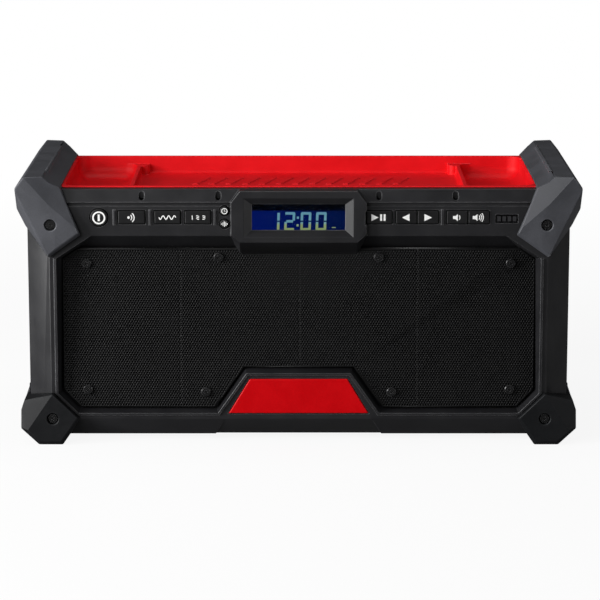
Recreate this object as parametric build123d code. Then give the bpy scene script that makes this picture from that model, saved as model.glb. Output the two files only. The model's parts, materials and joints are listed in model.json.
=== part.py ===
"""Cordless jobsite radio: a wide box carried by two top grips, with a tray on top and a battery bay behind.

The radio stands on Z = 0 with its middle at X = 0, Y = 0. Its face looks along -Y. All sizes are millimetres.
Each node is one kind of real piece, and one STEP file is written for each.
"""

from build123d import *
import os
from math import cos, hypot, pi, sin

# ---------------------------------------------------------------- driving dimensions
# casing, without its corner guards
CASE_HALF_WIDTH = 195.0
CASE_FRONT = -89.0
CASE_BACK = 86.0
CASE_BOTTOM = 5.0           # its height over the floor
CASE_TOP = 185.5
SHOULDER_DROP = 15.5        # from its top to the shoulders outside the tray, under each grip
SHOULDER_RISE = 11.0        # slope between side wall and shoulder
SHOULDER_RUN = 8.0
FRONT_CORNER = 17.0         # 45 degree front uprights
BACK_CORNER = 14.0
FLOOR_CORNER = 12.0         # 45 degree lower side edges
FRONT_SILL_RISE = 13.0      # sloped lower front edge
FRONT_SILL_RUN = 9.0
BACK_SILL = 8.0
BACK_BROW_RUN = 10.0        # bevel of the upper rear edge
BACK_BROW_FALL = 4.0
WALL = 3.0
FRONT_DEPTH = 31.0          # of the front housing, up to its joint with the main housing
COVER_DEPTH = 20.0          # of the back cover
GASKET = 1.0
GASKET_WIDTH = 2.0
FIT = 0.3                   # clearance between pieces that fit into each other
SEAT = 0.1                  # small clearance between stacked pieces

# control panel and brow above it
PANEL_HEIGHT = 33.0         # from the casing's top to the recess
GROOVE_DROP = 11.5          # lower edge of the groove under the brow
GROOVE_WIDTH = 2.5
GROOVE_DEPTH = 1.6
BROW_SETBACK = 4.5          # how far the brow leans back at its top

# recess of the speaker grille
RECESS_SIDE = 22.0          # from the casing's side
RECESS_SILL = 17.9          # over the casing's bottom
RECESS_TOP_CORNER_RUN = 25.1
RECESS_TOP_CORNER_DROP = 16.5
RECESS_BOTTOM_CORNER = 14.5
NOTCH_FOOT_HALF = 58.2      # raised surround of the badge
NOTCH_TOP_HALF = 37.7
NOTCH_HEIGHT = 29.4
RECESS_DEPTH = 13.0
RECESS_DRAFT = 3.5          # how far its side walls lean in over that depth
RECESS_BROW = 11.0          # how far its top wall leans in
BEAD_WIDTH = 2.0            # raised line around it, up to its top corners
BEAD_RISE = 1.3
SILL_SCOOP_HALF = 60.0      # steeper middle of the lower front edge
SILL_SCOOP_END = 7.0
SILL_SCOOP_RUN = 2.4

# grille sheet, folded along two creases a side
GRILLE_THICKNESS = 1.2
GRILLE_FOOT_SET_IN = 4.5    # depth of its front behind the casing's face, at the badge and along the bottom
GRILLE_TOP_SET_IN = 9.2
GRILLE_SIDE_SET_IN = 10.4

# display housing on the middle of the panel
WINDOW_HALF = 33.0
WINDOW_DROP = 10.1          # from the casing's top
WINDOW_HEIGHT = 18.2
BEZEL_RIM_X = 6.2
BEZEL_RIM_Z = 5.0
BEZEL_DEPTH = 4.0
LENS_THICKNESS = 1.4
LCD_THICKNESS = 2.4
HOOD_PROUD = 5.0
HOOD_DEPTH = 10.0           # behind the casing's face
HOOD_CHEEK = 9.0            # beside the bezel
HOOD_TOP_TAPER = 6.4
HOOD_BOTTOM_TAPER = 6.2
HOOD_SHOULDER_DROP = 8.3    # from the casing's top
HOOD_CHEEK_END_DROP = 31.5
HOOD_CHEEK_SPREAD = 0.8     # how much its sides grow by its back
HOOD_CHEEK_DROP = 4.0
HOOD_OVERLAP = 3.9          # how far its front hangs below the panel
HOOD_CHIN_DROP = 15.0       # from the panel to where its chin meets the grille

# keys: name, centre x, width; small round keys: name, centre x, height over the row's middle, width
KEY_PROUD = 1.3
KEY_GAP = 0.45              # around each key
KEY_EDGE = 0.45
KEY_TRAVEL = 0.8
KEY_FLANGE = 0.8
KEY_FLANGE_RIM = 0.9
KEY_DROP = 19.5             # from the casing's top to the middle of the row
KEY_HEIGHT = 9.2
POWER_KEY = ("power_key", -142.2, -0.2, 12.6)
WIDE_KEYS = (
    ("source_key", -119.0, 19.0),
    ("band_key", -93.4, 18.4),
    ("preset_key", -71.8, 18.4),
    ("play_key", 57.2, 18.4),
    ("previous_key", 76.7, 14.6),
    ("next_key", 92.1, 14.6),
    ("volume_down_key", 112.8, 14.6),
    ("volume_up_key", 128.2, 14.6),
)
SMALL_KEYS = (("clock_key", -52.8, 4.6, 6.6), ("tone_key", -52.8, -4.7, 6.6))
RIDGES_X = (-131.2, -105.6, -59.4, 102.4)
RIDGE_WIDTH = 1.8
RIDGE_HEIGHT = 11.0
RIDGE_PROUD = 1.1
GAUGE_X = 148.2
GAUGE_LOWER = 1.1           # below the middle of the row
GAUGE_WIDTH = 15.6
GAUGE_HEIGHT = 5.8
GAUGE_BARS = 4
GAUGE_GAP = 0.9
GAUGE_RIM = 0.8
SWITCH_SIZE = 4.0
SWITCH_HEIGHT = 2.9
BOARD = 1.6
SLOTS_X = (57.2, 111.8)
SLOT_DROP = 4.5             # from the casing's top
SLOT_DEPTH = 2.2
SLOT_WIDTH = 3.8
SLOT_HEIGHT = 6.0

# badge plate, a blank trapezium, set in from its surround
BADGE_SIDE = 7.8
BADGE_SHOULDER = 2.5
BADGE_RIM = 4.5
BADGE_FOOT = 0.5            # how far it hangs below the recess
BADGE_THICKNESS = 1.4
BADGE_PROUD = 0.5

# tray
TRAY_SIDE = 24.2            # from the casing's side
TRAY_LIP = 1.0              # thickness of its lips, which lie on the casing
TRAY_SET_BACK = 13.0        # of its front wall behind the casing's front
TRAY_SET_IN = 15.7          # of its rear wall before the casing's back
TRAY_LIP_SET_BACK = 12.0
TRAY_LIP_SET_IN = 14.5
TRAY_WALL = 2.2
TRAY_DEPTH = 16.7           # of its end compartments
TRAY_STEP = 3.6             # how much higher the floor of its middle is
TRAY_FLOOR_THICKNESS = 2.2
TRAY_SIDE_BEVEL = 1.8       # along the top of its side walls, on their inner side
END_POCKET = 49.2           # from the tray's side to the middle of a divider
DIVIDER_DROP = 5.8          # below the tray's top
DIVIDER_THICKNESS = 2.8
DIVIDER_LUG = 4.4           # radius of the screw lugs beside it
POCKET_CORNER = 10.0        # upright corners of the end compartments
POCKET_ROUND = 9.0          # between their walls and their floor
MIDDLE_CORNER = 4.4
TREAD_COUNT = 13
TREAD_PITCH = 12.5
TREAD_RISE = 0.7
TREAD_WIDTH = 4.0
TREAD_LENGTH = 30.0
TREAD_SLANT = 9.0
TREAD_SET_IN = 43.0         # from the tray's rear wall to their middles

# corner guards
GUARD_PROUD_FRONT = 6.0
GUARD_PROUD_BACK = 9.0
GRIP_SPAN = 48.0            # half the length of the free grip
GRIP_SPAN_SLOPE = 0.5
BAR_SET_IN = 7.0            # steel bar in the grip's underside, from the casing's side
BAR_WIDTH = 10.0
BAR_HEIGHT = 8.0
BAR_HALF_LENGTH = 80.0
SKID_SPAN = 52.0
SKID_WAIST = 12.0           # over the casing's bottom
GRIP_FACET_FALL = 4.2       # how far a facet of each guard's face falls back at its far corner
SKID_FACET_FALL = 4.6
OUTER_TILT = 0.08           # how steeply a top guard's face falls back outside its ridge
GRIP_FLANK_SLOPE = 2.0      # how steeply a guard's flank runs back
SKID_FLANK_SLOPE = 0.4
SKID_FLANK_DEPTH = 24.5     # of its foot behind the face, where the casing's corner shows above it
TOE_BEVEL = 2.4
CREASE_OVERRUN = 6.0        # how far the cut of a facet runs on past its crease, to end without a step
GRIP_BEAD_R = 1.0           # raised line along the grip's inner upper edge
GRIP_BEAD_HALF_LENGTH = 62.0
GRIP_BEAD_SINK = 1.25       # of its middle under that edge


# top guards, which are also the carrying grips: corners of the right one's front outline, each as its
# distance out and up from the casing's upper corner
GRIP_TOP_OUT = (0.1, 10.0)
GRIP_TOP_IN = (-13.0, 10.0)
GRIP_CREASE = (-17.4, 5.9)
GRIP_TRAY = (-25.2, 2.2)            # edge that overhangs the tray's rim
GRIP_TOE = (-39.5, -32.0)
GRIP_TIP = (-17.0, -48.0)
GRIP_HEM = (0.5, -26.5)
GRIP_WAIST = (6.5, -14.5)
GRIP_SHOULDER = (6.5, 2.0)
GRIP_FACET_FOOT = (-35.5, -25.5)    # lower end of the crease across the face
GRIP_RIDGE_TOP = (-16.5, -6.0)      # the face's foremost line, which runs down past the screw
GRIP_RIDGE_FOOT = (-22.5, -45.0)
GRIP_REAR_CUT_LOW = (-24.5, -3.8)   # slanted rear inner corner, down from the beam's inner top edge
GRIP_REAR_CUT_RUN = 24.0            # how far it reaches forward at the tray's edge
GUARD_SCREW_TOP = (-18.4, -24.3)

# bottom guards, likewise, from the casing's lower corner; they stand on the floor
SKID_HEM = (0.5, 34.5)
SKID_OUT_TOP = (5.2, 20.3)
SKID_OUT_BOTTOM = (5.2, 7.0)
SKID_SOLE_OUT = (-7.5, -CASE_BOTTOM)
SKID_SOLE_IN = (-24.8, -CASE_BOTTOM)
SKID_BELLY = (-30.0, 2.6)
SKID_TOE = (-37.0, 14.3)
SKID_APEX = (-17.8, 33.0)
SKID_FLANK_TOP = (-3.2, 29.1)
SKID_FACET_FOOT = (1.0, 5.0)
GUARD_SCREW_BOTTOM = (-17.8, 14.6)

# finger pockets under the grips
POCKET_HALF_LENGTH = 44.0
POCKET_DEPTH = 42.0
POCKET_HEIGHT = 38.0        # below the shoulders
POCKET_WALL = 2.5

# screws
GUARD_SCREW_R = 2.0
GUARD_SCREW_HEAD_R = 3.7
GUARD_SCREW_HEAD = 2.6
GUARD_SCREW_SINK = 4.0
GUARD_BORE_R = 4.1
GUARD_SCREW_REACH = 9.0     # thread in the housing
BOSS_R = 5.8
BOSS_END = 2.5
THREAD_FIT = 0.05
CASE_SCREW_TOP_X = 96.0
CASE_SCREW_TOP_DROP = 6.7   # below the deck
CASE_SCREW_BOTTOM_X = (45.0, 140.0)
CASE_SCREW_BOTTOM_RISE = 3.9
CASE_SCREW_R = 1.75
CASE_SCREW_HEAD_R = 3.2
CASE_SCREW_HEAD = 2.4
CASE_SCREW_TAB = 7.0
CASE_SCREW_REACH = 10.0
CASE_BOSS_R = 4.6
CASE_BOSS_LENGTH = 13.0
GRILLE_SCREW_SIDE = 20.8    # from the recess's side
GRILLE_SCREW_TOP_DROP = 21.5
GRILLE_SCREW_BOTTOM_RISE = 16.1
HOOD_SCREW_GAP = 9.2        # from the hood's cheek
HOOD_SCREW_DROP = 17.1
NOTCH_SCREW_GAP = 8.8       # from the foot of the badge's surround
NOTCH_SCREW_RISE = 14.7
GRILLE_SCREW_R = 1.4
GRILLE_SCREW_HEAD_R = 3.5
GRILLE_SCREW_HEAD = 1.6
GRILLE_BOSS_R = 3.6
GRILLE_SCREW_REACH = 4.0
GRILLE_SCREW_SEAT = 0.35    # clearance that lets flat heads sit on the sloped sheet
TORX_R = 1.5
TORX_DEPTH = 1.2
TRAY_SCREW_R = 1.2
TRAY_SCREW_LENGTH = 6.0
TRAY_SCREW_HEAD_R = 2.4
TRAY_SCREW_HEAD = 1.5

# loudspeakers
WOOFER_SIDE = 81.0          # from the recess's side
WOOFER_RISE = 61.1          # over the recess's bottom
WOOFER_R = 44.0
WOOFER_FLANGE_R = 52.0
WOOFER_FLANGE_LIP = 2.0
WOOFER_FLANGE = 2.0
SURROUND_WIDTH = 6.0
CONE_DEPTH = 16.0
CONE_SKIN = 0.9
CONE_NECK_R = 13.0
CAP_DEPTH = 12.0
SURROUND_RISE = 1.6
COIL_R = 12.6
COIL_SKIN = 0.6
BASKET_DEPTH = 24.0
BASKET_WALL = 1.6
BASKET_BACK_R = 26.0
BASKET_BORE_R = 14.0
MAGNET_R = 32.0
MAGNET_LENGTH = 15.0
WOOFER_SCREW_R = 1.3
WOOFER_SCREW_HEAD_R = 2.4
WOOFER_SCREW_HEAD = 1.5
WOOFER_SCREW_CIRCLE = 48.6
WOOFER_SCREW_REACH = 2.4
TWEETER_SIDE = 23.4         # from the recess's side
TWEETER_DROP = 38.9         # below the panel
TWEETER_R = 7.6
TWEETER_LENGTH = 9.0
TWEETER_DOME = 1.0
RING_R = 9.0
RING_WIDTH = 1.4
RING_RISE = 0.9
BAFFLE = 3.0

# battery bay in the back cover, and its pack
BAY_HALF_WIDTH = 88.0
BAY_RISE = 29.0             # over the casing's bottom
BAY_HEIGHT = 100.0
BAY_DEPTH = 62.0
BAY_WALL = 2.5
PACK_LENGTH = 118.0
PACK_HEIGHT = 76.0
PACK_THICKNESS = 44.0
PACK_CORNER = 5.0
PACK_EDGE = 2.0
RAIL_GAP_HALF = 20.0
RAIL_LIP = 4.0
RAIL_THICKNESS = 3.0
RAIL_STEM = 4.0
RAIL_REST = 0.3             # sliding clearance of the pack
PACK_BUTTON_START = 38.0    # from the pack's end to the middle of its buttons
PACK_BUTTON_LENGTH = 18.0
PACK_BUTTON_WIDTH = 14.0
PACK_BUTTON_PROUD = 2.0
PACK_BUTTON_TRAVEL = 1.5
PACK_BUTTON_DEPTH = 4.0
TERMINAL_LENGTH = 8.0
TERMINAL_GAP = 2.0          # between the carrier and the seated pack
BLADE_COUNT = 3
BLADE_PITCH = 9.0
BLADE = 1.0
BLADE_RISE = 3.6            # middle of the blades over the bay's floor
BLADE_WIDTH = 3.2
BLADE_ROOT = 3.5            # in the carrier
BLADE_REACH = 10.0
BLADE_SLOT = 0.5            # room around each blade in the pack

# antenna on the back, stowed level
ANTENNA_SIDE = 57.0         # from the casing's side
ANTENNA_DROP = 28.5         # below the casing's top
ANTENNA_R = 3.3
ANTENNA_TIP_R = 2.4
ANTENNA_LENGTH = 232.0
KNUCKLE_R = 7.0
KNUCKLE_THICKNESS = 7.4
PIN_RUN = 0.06              # running clearance of the hinge pins
PIN_HEAD_R = 4.0
PIN_HEAD = 1.3
PIN_SEAT = 7.0
ANTENNA_PIN_R = 2.2
CLIP_REACH = 198.0          # from the pivot to the clip
CLIP_LENGTH = 8.0
CLIP_WALL = 1.6

# sockets behind a rubber flap
FLAP_SIDE = 57.0            # from the casing's side
FLAP_RISE = 77.0            # over the casing's bottom
FLAP_WIDTH = 42.0
FLAP_HEIGHT = 30.0
FLAP_THICKNESS = 2.2
FLAP_BARREL_R = 1.6
FLAP_PIN_R = 0.7
FLAP_PIN_SEAT = 1.4
FLAP_LIP = 1.6
SOCKET_WELL = 4.0
SOCKET_PITCH = 20.0
USB_WIDTH = 13.2
USB_HEIGHT = 5.8
USB_DEPTH = 14.0
USB_SHELL = 0.5
USB_TONGUE = 1.6
USB_TONGUE_LENGTH = 10.0
USB_BACK = 3.0
SOCKET_FLOOR = 2.0
AUX_R = 1.8
AUX_BODY = 8.0
AUX_DEPTH = 14.0

# main circuit board
MAIN_BOARD_HALF = 62.0
MAIN_BOARD_HEIGHT = 80.0
POST_LENGTH = 12.0
POST_R = 3.0
POST_INSET = 6.0
BOARD_SCREW_R = 1.25
BOARD_SCREW_HEAD_R = 2.4
BOARD_SCREW_HEAD = 1.5
BOARD_SCREW_REACH = 6.0
HEAT_SINK_WIDTH = 46.0
HEAT_SINK_HEIGHT = 20.0
HEAT_SINK_DEPTH = 14.0
HEAT_SINK_BASE = 3.0
FIN = 1.6
FIN_COUNT = 7

# ---------------------------------------------------------------- places worked out from the sizes above
SHOULDER_Z = CASE_TOP - SHOULDER_DROP
FRONT_PARTING = CASE_FRONT + FRONT_DEPTH
BACK_PARTING = CASE_BACK - COVER_DEPTH
MAIN_FRONT = FRONT_PARTING + GASKET
COVER_FRONT = BACK_PARTING + GASKET
PANEL_BOTTOM = CASE_TOP - PANEL_HEIGHT
GROOVE_BOTTOM = CASE_TOP - GROOVE_DROP
GROOVE_TOP = GROOVE_BOTTOM + GROOVE_WIDTH
RECESS_HALF_WIDTH = CASE_HALF_WIDTH - RECESS_SIDE
RECESS_BOTTOM = CASE_BOTTOM + RECESS_SILL
NOTCH_TOP = RECESS_BOTTOM + NOTCH_HEIGHT
BEAD_TOP = PANEL_BOTTOM - RECESS_TOP_CORNER_DROP
BAFFLE_FRONT = CASE_FRONT + RECESS_DEPTH
BAFFLE_BACK = BAFFLE_FRONT + BAFFLE
WINDOW_TOP = CASE_TOP - WINDOW_DROP
WINDOW_BOTTOM = WINDOW_TOP - WINDOW_HEIGHT
HOOD_FRONT = CASE_FRONT - HOOD_PROUD
HOOD_BACK = CASE_FRONT + HOOD_DEPTH
HOOD_HALF = WINDOW_HALF + BEZEL_RIM_X + HOOD_CHEEK
HOOD_TOP_HALF = HOOD_HALF - HOOD_TOP_TAPER
HOOD_BOTTOM_HALF = HOOD_HALF - HOOD_BOTTOM_TAPER
HOOD_SHOULDER_Z = CASE_TOP - HOOD_SHOULDER_DROP
HOOD_CHEEK_Z = CASE_TOP - HOOD_CHEEK_END_DROP
HOOD_BOTTOM = PANEL_BOTTOM - HOOD_OVERLAP
HOOD_CHIN_BOTTOM = PANEL_BOTTOM - HOOD_CHIN_DROP
LENS_FRONT = HOOD_FRONT + BEZEL_DEPTH
LENS_BACK = LENS_FRONT + LENS_THICKNESS
LCD_BACK = LENS_BACK + SEAT + LCD_THICKNESS
KEY_Z = CASE_TOP - KEY_DROP
KEY_BACK = CASE_FRONT + WALL + KEY_FLANGE
SWITCH_FRONT = KEY_BACK + KEY_TRAVEL + SEAT
KEY_BOARD_FRONT = SWITCH_FRONT + SWITCH_HEIGHT
KEY_BOARD_BACK = KEY_BOARD_FRONT + BOARD
GAUGE_Z = KEY_Z - GAUGE_LOWER
SLOT_Z = CASE_TOP - SLOT_DROP
BADGE_FOOT_HALF = NOTCH_FOOT_HALF - BADGE_SIDE
BADGE_TOP_HALF = NOTCH_TOP_HALF - BADGE_SHOULDER
BADGE_BOTTOM = RECESS_BOTTOM - BADGE_FOOT
BADGE_TOP = NOTCH_TOP - BADGE_RIM
TRAY_HALF = CASE_HALF_WIDTH - TRAY_SIDE
TRAY_TOP = CASE_TOP + TRAY_LIP
TRAY_FLOOR = TRAY_TOP - TRAY_DEPTH
TRAY_FRONT = CASE_FRONT + TRAY_SET_BACK
TRAY_BACK = CASE_BACK - TRAY_SET_IN
TRAY_LIP_FRONT = CASE_FRONT + TRAY_LIP_SET_BACK
TRAY_LIP_BACK = CASE_BACK - TRAY_LIP_SET_IN
DIVIDER_X = TRAY_HALF - END_POCKET
DIVIDER_TOP = TRAY_TOP - DIVIDER_DROP
MIDDLE_FLOOR = TRAY_FLOOR + TRAY_STEP
TRAY_BOTTOM = TRAY_FLOOR - TRAY_FLOOR_THICKNESS
TREAD_Y = TRAY_BACK - TREAD_SET_IN
DECK_TOP = TRAY_BOTTOM - SEAT
WELL_HALF = TRAY_HALF + FIT
WELL_FRONT = TRAY_FRONT - FIT
WELL_BACK = TRAY_BACK + FIT
GUARD_FRONT = CASE_FRONT - GUARD_PROUD_FRONT
GUARD_BACK = CASE_BACK + GUARD_PROUD_BACK
BAR_X = CASE_HALF_WIDTH - BAR_SET_IN
SKID_WAIST_Z = CASE_BOTTOM + SKID_WAIST
POCKET_FLOOR = SHOULDER_Z - POCKET_HEIGHT
CASE_SCREWS = (
    (CASE_SCREW_TOP_X, DECK_TOP - CASE_SCREW_TOP_DROP),
    (CASE_SCREW_BOTTOM_X[0], CASE_BOTTOM + WALL + CASE_SCREW_BOTTOM_RISE),
    (CASE_SCREW_BOTTOM_X[1], CASE_BOTTOM + WALL + CASE_SCREW_BOTTOM_RISE),
)
GRILLE_SCREW_X = RECESS_HALF_WIDTH - GRILLE_SCREW_SIDE
GRILLE_SCREWS = (
    (GRILLE_SCREW_X, PANEL_BOTTOM - GRILLE_SCREW_TOP_DROP),
    (HOOD_HALF + HOOD_SCREW_GAP, PANEL_BOTTOM - HOOD_SCREW_DROP),
    (GRILLE_SCREW_X, RECESS_BOTTOM + GRILLE_SCREW_BOTTOM_RISE),
    (NOTCH_FOOT_HALF + NOTCH_SCREW_GAP, RECESS_BOTTOM + NOTCH_SCREW_RISE),
)
WOOFER_X = RECESS_HALF_WIDTH - WOOFER_SIDE
WOOFER_Z = RECESS_BOTTOM + WOOFER_RISE
TWEETER_X = RECESS_HALF_WIDTH - TWEETER_SIDE
TWEETER_Z = PANEL_BOTTOM - TWEETER_DROP
BAY_FLOOR = CASE_BACK - BAY_DEPTH
BAY_BOTTOM = CASE_BOTTOM + BAY_RISE
BAY_TOP = BAY_BOTTOM + BAY_HEIGHT
BAY_Z = (BAY_BOTTOM + BAY_TOP) / 2
RAIL_TOP = BAY_FLOOR + RAIL_STEM + RAIL_LIP
PACK_FRONT = RAIL_TOP + RAIL_REST
PACK_BACK = PACK_FRONT + PACK_THICKNESS
PACK_START = -BAY_HALF_WIDTH + TERMINAL_LENGTH + TERMINAL_GAP
PACK_BUTTON_X = PACK_START + PACK_BUTTON_START
BLADE_Y = BAY_FLOOR + BLADE_RISE
ANTENNA_X = ANTENNA_SIDE - CASE_HALF_WIDTH
ANTENNA_Z = CASE_TOP - ANTENNA_DROP
ANTENNA_Y = CASE_BACK + FIT + KNUCKLE_THICKNESS / 2
ANTENNA_CLIP_X = ANTENNA_X + CLIP_REACH
FLAP_X = CASE_HALF_WIDTH - FLAP_SIDE
FLAP_Z = CASE_BOTTOM + FLAP_RISE
FLAP_AXIS_Y = CASE_BACK - FLAP_BARREL_R
FLAP_AXIS_Z = FLAP_Z + FLAP_HEIGHT / 2 - FLAP_BARREL_R
WELL_FLOOR = CASE_BACK - SOCKET_WELL
USB_X = FLAP_X - SOCKET_PITCH / 2
AUX_X = FLAP_X + SOCKET_PITCH / 2
MAIN_BOARD_BOTTOM = BAY_Z - MAIN_BOARD_HEIGHT / 2
MAIN_BOARD_TOP = BAY_Z + MAIN_BOARD_HEIGHT / 2
OVER = 40.0                 # how far a cutting shape runs past what it cuts
FAR = 240.0                 # more than the radio's length
PARTS = "parts"


# ---------------------------------------------------------------- shape helpers
def from_top(*offsets):
    """Places of the right side as (x, z), given out and up from the casing's upper corner."""
    return [(CASE_HALF_WIDTH + out, CASE_TOP + up) for out, up in offsets]


def from_bottom(*offsets):
    """Places of the right side as (x, z), given out and up from the casing's lower corner."""
    return [(CASE_HALF_WIDTH + out, CASE_BOTTOM + up) for out, up in offsets]


def guard_screw_places():
    """Where the guards' screws are, on all four corners."""
    return quadrants(from_top(GUARD_SCREW_TOP) + from_bottom(GUARD_SCREW_BOTTOM))


def block(x_low, x_high, y_low, y_high, z_low, z_high):
    """A box between two corners."""
    centre = ((x_low + x_high) / 2, (y_low + y_high) / 2, (z_low + z_high) / 2)
    return Pos(*centre) * Box(x_high - x_low, y_high - y_low, z_high - z_low)


def prism_xz(points, y_low, y_high):
    """A polygon of (x, z) points carried along Y."""
    outline = Wire.make_polygon([(x, y_low, z) for x, z in points])
    return extrude(Face(outline), amount=y_high - y_low, dir=(0, 1, 0))


def prism_yz(points, x_low, x_high):
    """A polygon of (y, z) points carried along X."""
    outline = Wire.make_polygon([(x_low, y, z) for y, z in points])
    return extrude(Face(outline), amount=x_high - x_low, dir=(1, 0, 0))


def prism_xy(points, z_low, z_high):
    """A polygon of (x, y) points carried along Z."""
    outline = Wire.make_polygon([(x, y, z_low) for x, y in points])
    return extrude(Face(outline), amount=z_high - z_low, dir=(0, 0, 1))


def frustum_xz(front_points, front_y, back_points, back_y):
    """A ruled solid between two (x, z) polygons with matching corners."""
    front = Face(Wire.make_polygon([(x, front_y, z) for x, z in front_points]))
    back = Face(Wire.make_polygon([(x, back_y, z) for x, z in back_points]))
    return loft([front, back], ruled=True)


def rod_y(x, z, radius, y_low, y_high):
    """A cylinder along Y."""
    return Pos(x, (y_low + y_high) / 2, z) * Rot(90, 0, 0) * Cylinder(radius, y_high - y_low)


def rod_z(x, y, radius, z_low, z_high):
    """A cylinder along Z."""
    return Pos(x, y, (z_low + z_high) / 2) * Cylinder(radius, z_high - z_low)


def mirrored(points):
    """Right-half points, top to bottom, closed by their mirror image."""
    return list(points) + [(-x, z) for x, z in reversed(points)]


def inset(points, distance):
    """The polygon with every edge moved inwards by distance, corners where the moved edges meet."""
    count = len(points)
    doubled_area = sum(
        points[i][0] * points[(i + 1) % count][1] - points[(i + 1) % count][0] * points[i][1]
        for i in range(count)
    )
    side = 1 if doubled_area > 0 else -1
    lines = []
    for i in range(count):
        (ax, az), (bx, bz) = points[i], points[(i + 1) % count]
        length = hypot(bx - ax, bz - az)
        dx, dz = (bx - ax) / length, (bz - az) / length
        lines.append((ax - side * dz * distance, az + side * dx * distance, dx, dz))
    corners = []
    for i in range(count):
        ax, az, adx, adz = lines[i - 1]
        bx, bz, bdx, bdz = lines[i]
        share = ((bx - ax) * bdz - (bz - az) * bdx) / (adx * bdz - adz * bdx)
        corners.append((ax + adx * share, az + adz * share))
    return corners


def plane_height(a, b, c):
    """The plane through three (x, y, z) points, as a function giving y at (x, z)."""
    (ax, ay, az), (bx, by, bz), (cx, cy, cz) = a, b, c
    turn = (bx - ax) * (cz - az) - (cx - ax) * (bz - az)
    slope_x = ((by - ay) * (cz - az) - (cy - ay) * (bz - az)) / turn
    slope_z = ((cy - ay) * (bx - ax) - (by - ay) * (cx - ax)) / turn
    return lambda x, z: ay + slope_x * (x - ax) + slope_z * (z - az)


def in_front_of(plane, points, reach):
    """The solid that lies in front of a sloped plane over an (x, z) polygon."""
    outline = Wire.make_polygon([(x, plane(x, z) - reach, z) for x, z in points])
    return extrude(Face(outline), amount=reach, dir=(0, 1, 0))


def flip(shape):
    """The mirror image on the other side of the radio's middle."""
    return mirror(shape, about=Plane.YZ)


def one(shape):
    """The shape as a single solid, refused if it fell apart."""
    solids = shape.solids()
    if len(solids) != 1:
        raise ValueError(f"expected one solid, found {len(solids)}")
    return solids[0]


def write(node, *shapes):
    """Writes the solids of the shapes as one node."""
    solids = [solid for shape in shapes for solid in shape.solids()]
    export_step(solids[0] if len(solids) == 1 else Compound(solids), f"{PARTS}/{node}.step")


def torx_recess(x, z, face_y, towards):
    """The six-lobed driver recess in a screw head whose face is at face_y; towards is +1 into +Y."""
    depth = TORX_DEPTH * towards
    recess = rod_y(x, z, TORX_R * 0.72, *sorted((face_y, face_y + depth)))
    lobe_r = TORX_R * 0.26
    for i in range(6):
        angle = i * pi / 3
        lobe_x = x + TORX_R * 0.74 * cos(angle)
        lobe_z = z + TORX_R * 0.74 * sin(angle)
        recess += rod_y(lobe_x, lobe_z, lobe_r, *sorted((face_y, face_y + depth)))
    return recess


def ring_y(x, z, outer, inner, y_low, y_high):
    """A flat ring or tube along Y."""
    return rod_y(x, z, outer, y_low, y_high) - rod_y(x, z, inner, y_low, y_high)


def turned_y(profile, x, z, y_start):
    """A (radius, depth) profile turned around an axis along Y, depth counted from y_start towards +Y."""
    outline = Wire.make_polygon([(radius, 0, depth) for radius, depth in profile])
    return Pos(x, y_start, z) * Rot(-90, 0, 0) * revolve(Face(outline), Axis.Z, 360)


def both_sides(shape):
    """The shape and its mirror image."""
    return shape + flip(shape)


def quadrants(places):
    """Right-half (x, z) places and their mirror images."""
    return [(side * x, z) for x, z in places for side in (1, -1)]


# ---------------------------------------------------------------- casing forms
def case_envelope(grow=0.0):
    """The casing's outer form with its grip shoulders, grown outwards."""
    half, front, back = CASE_HALF_WIDTH, CASE_FRONT, CASE_BACK
    plan = [
        (half, front + FRONT_CORNER), (half - FRONT_CORNER, front),
        (FRONT_CORNER - half, front), (-half, front + FRONT_CORNER),
        (-half, back - BACK_CORNER), (BACK_CORNER - half, back),
        (half - BACK_CORNER, back), (half, back - BACK_CORNER),
    ]
    side = [
        (front, CASE_BOTTOM + FRONT_SILL_RISE), (front, GROOVE_TOP), (front + BROW_SETBACK, CASE_TOP),
        (back - BACK_BROW_RUN, CASE_TOP), (back, CASE_TOP - BACK_BROW_FALL),
        (back, CASE_BOTTOM + BACK_SILL), (back - BACK_SILL, CASE_BOTTOM),
        (front + FRONT_SILL_RUN, CASE_BOTTOM),
    ]
    face = mirrored([
        (WELL_HALF, CASE_TOP), (WELL_HALF, SHOULDER_Z), (half - SHOULDER_RUN, SHOULDER_Z),
        (half, SHOULDER_Z - SHOULDER_RISE), (half, CASE_BOTTOM + FLOOR_CORNER),
        (half - FLOOR_CORNER, CASE_BOTTOM),
    ])
    return (
        prism_xy(inset(plan, -grow), CASE_BOTTOM - OVER, CASE_TOP + OVER)
        & prism_yz(inset(side, -grow), -half - OVER, half + OVER)
        & prism_xz(inset(face, -grow), front - OVER, back + OVER)
    )


def casing(grow=0.0):
    """The casing's form with the well for the tray taken out of its top."""
    half = WELL_HALF - grow
    well = block(-half, half, WELL_FRONT + grow, WELL_BACK - grow, DECK_TOP + grow, CASE_TOP + OVER)
    return case_envelope(grow) - well


def finger_pocket(grow=0.0):
    """The right hand's space under the grip, grown by its wall."""
    inner = CASE_HALF_WIDTH - POCKET_DEPTH - grow
    reach = POCKET_HALF_LENGTH + grow
    floor = POCKET_FLOOR - grow
    under_deck = block(inner, CASE_HALF_WIDTH + OVER, -reach, reach, floor, DECK_TOP - WALL + grow)
    beside_well = WELL_HALF + WALL - grow
    return under_deck + block(beside_well, CASE_HALF_WIDTH + OVER, -reach, reach, floor, SHOULDER_Z + OVER)


def shell(y_low, y_high):
    """The casing's walls between two planes across it."""
    wall = casing() - (casing(-WALL) - both_sides(finger_pocket(POCKET_WALL)))
    wall -= both_sides(finger_pocket())
    return wall & block(-FAR, FAR, y_low, y_high, 0, CASE_TOP + OVER)


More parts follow.
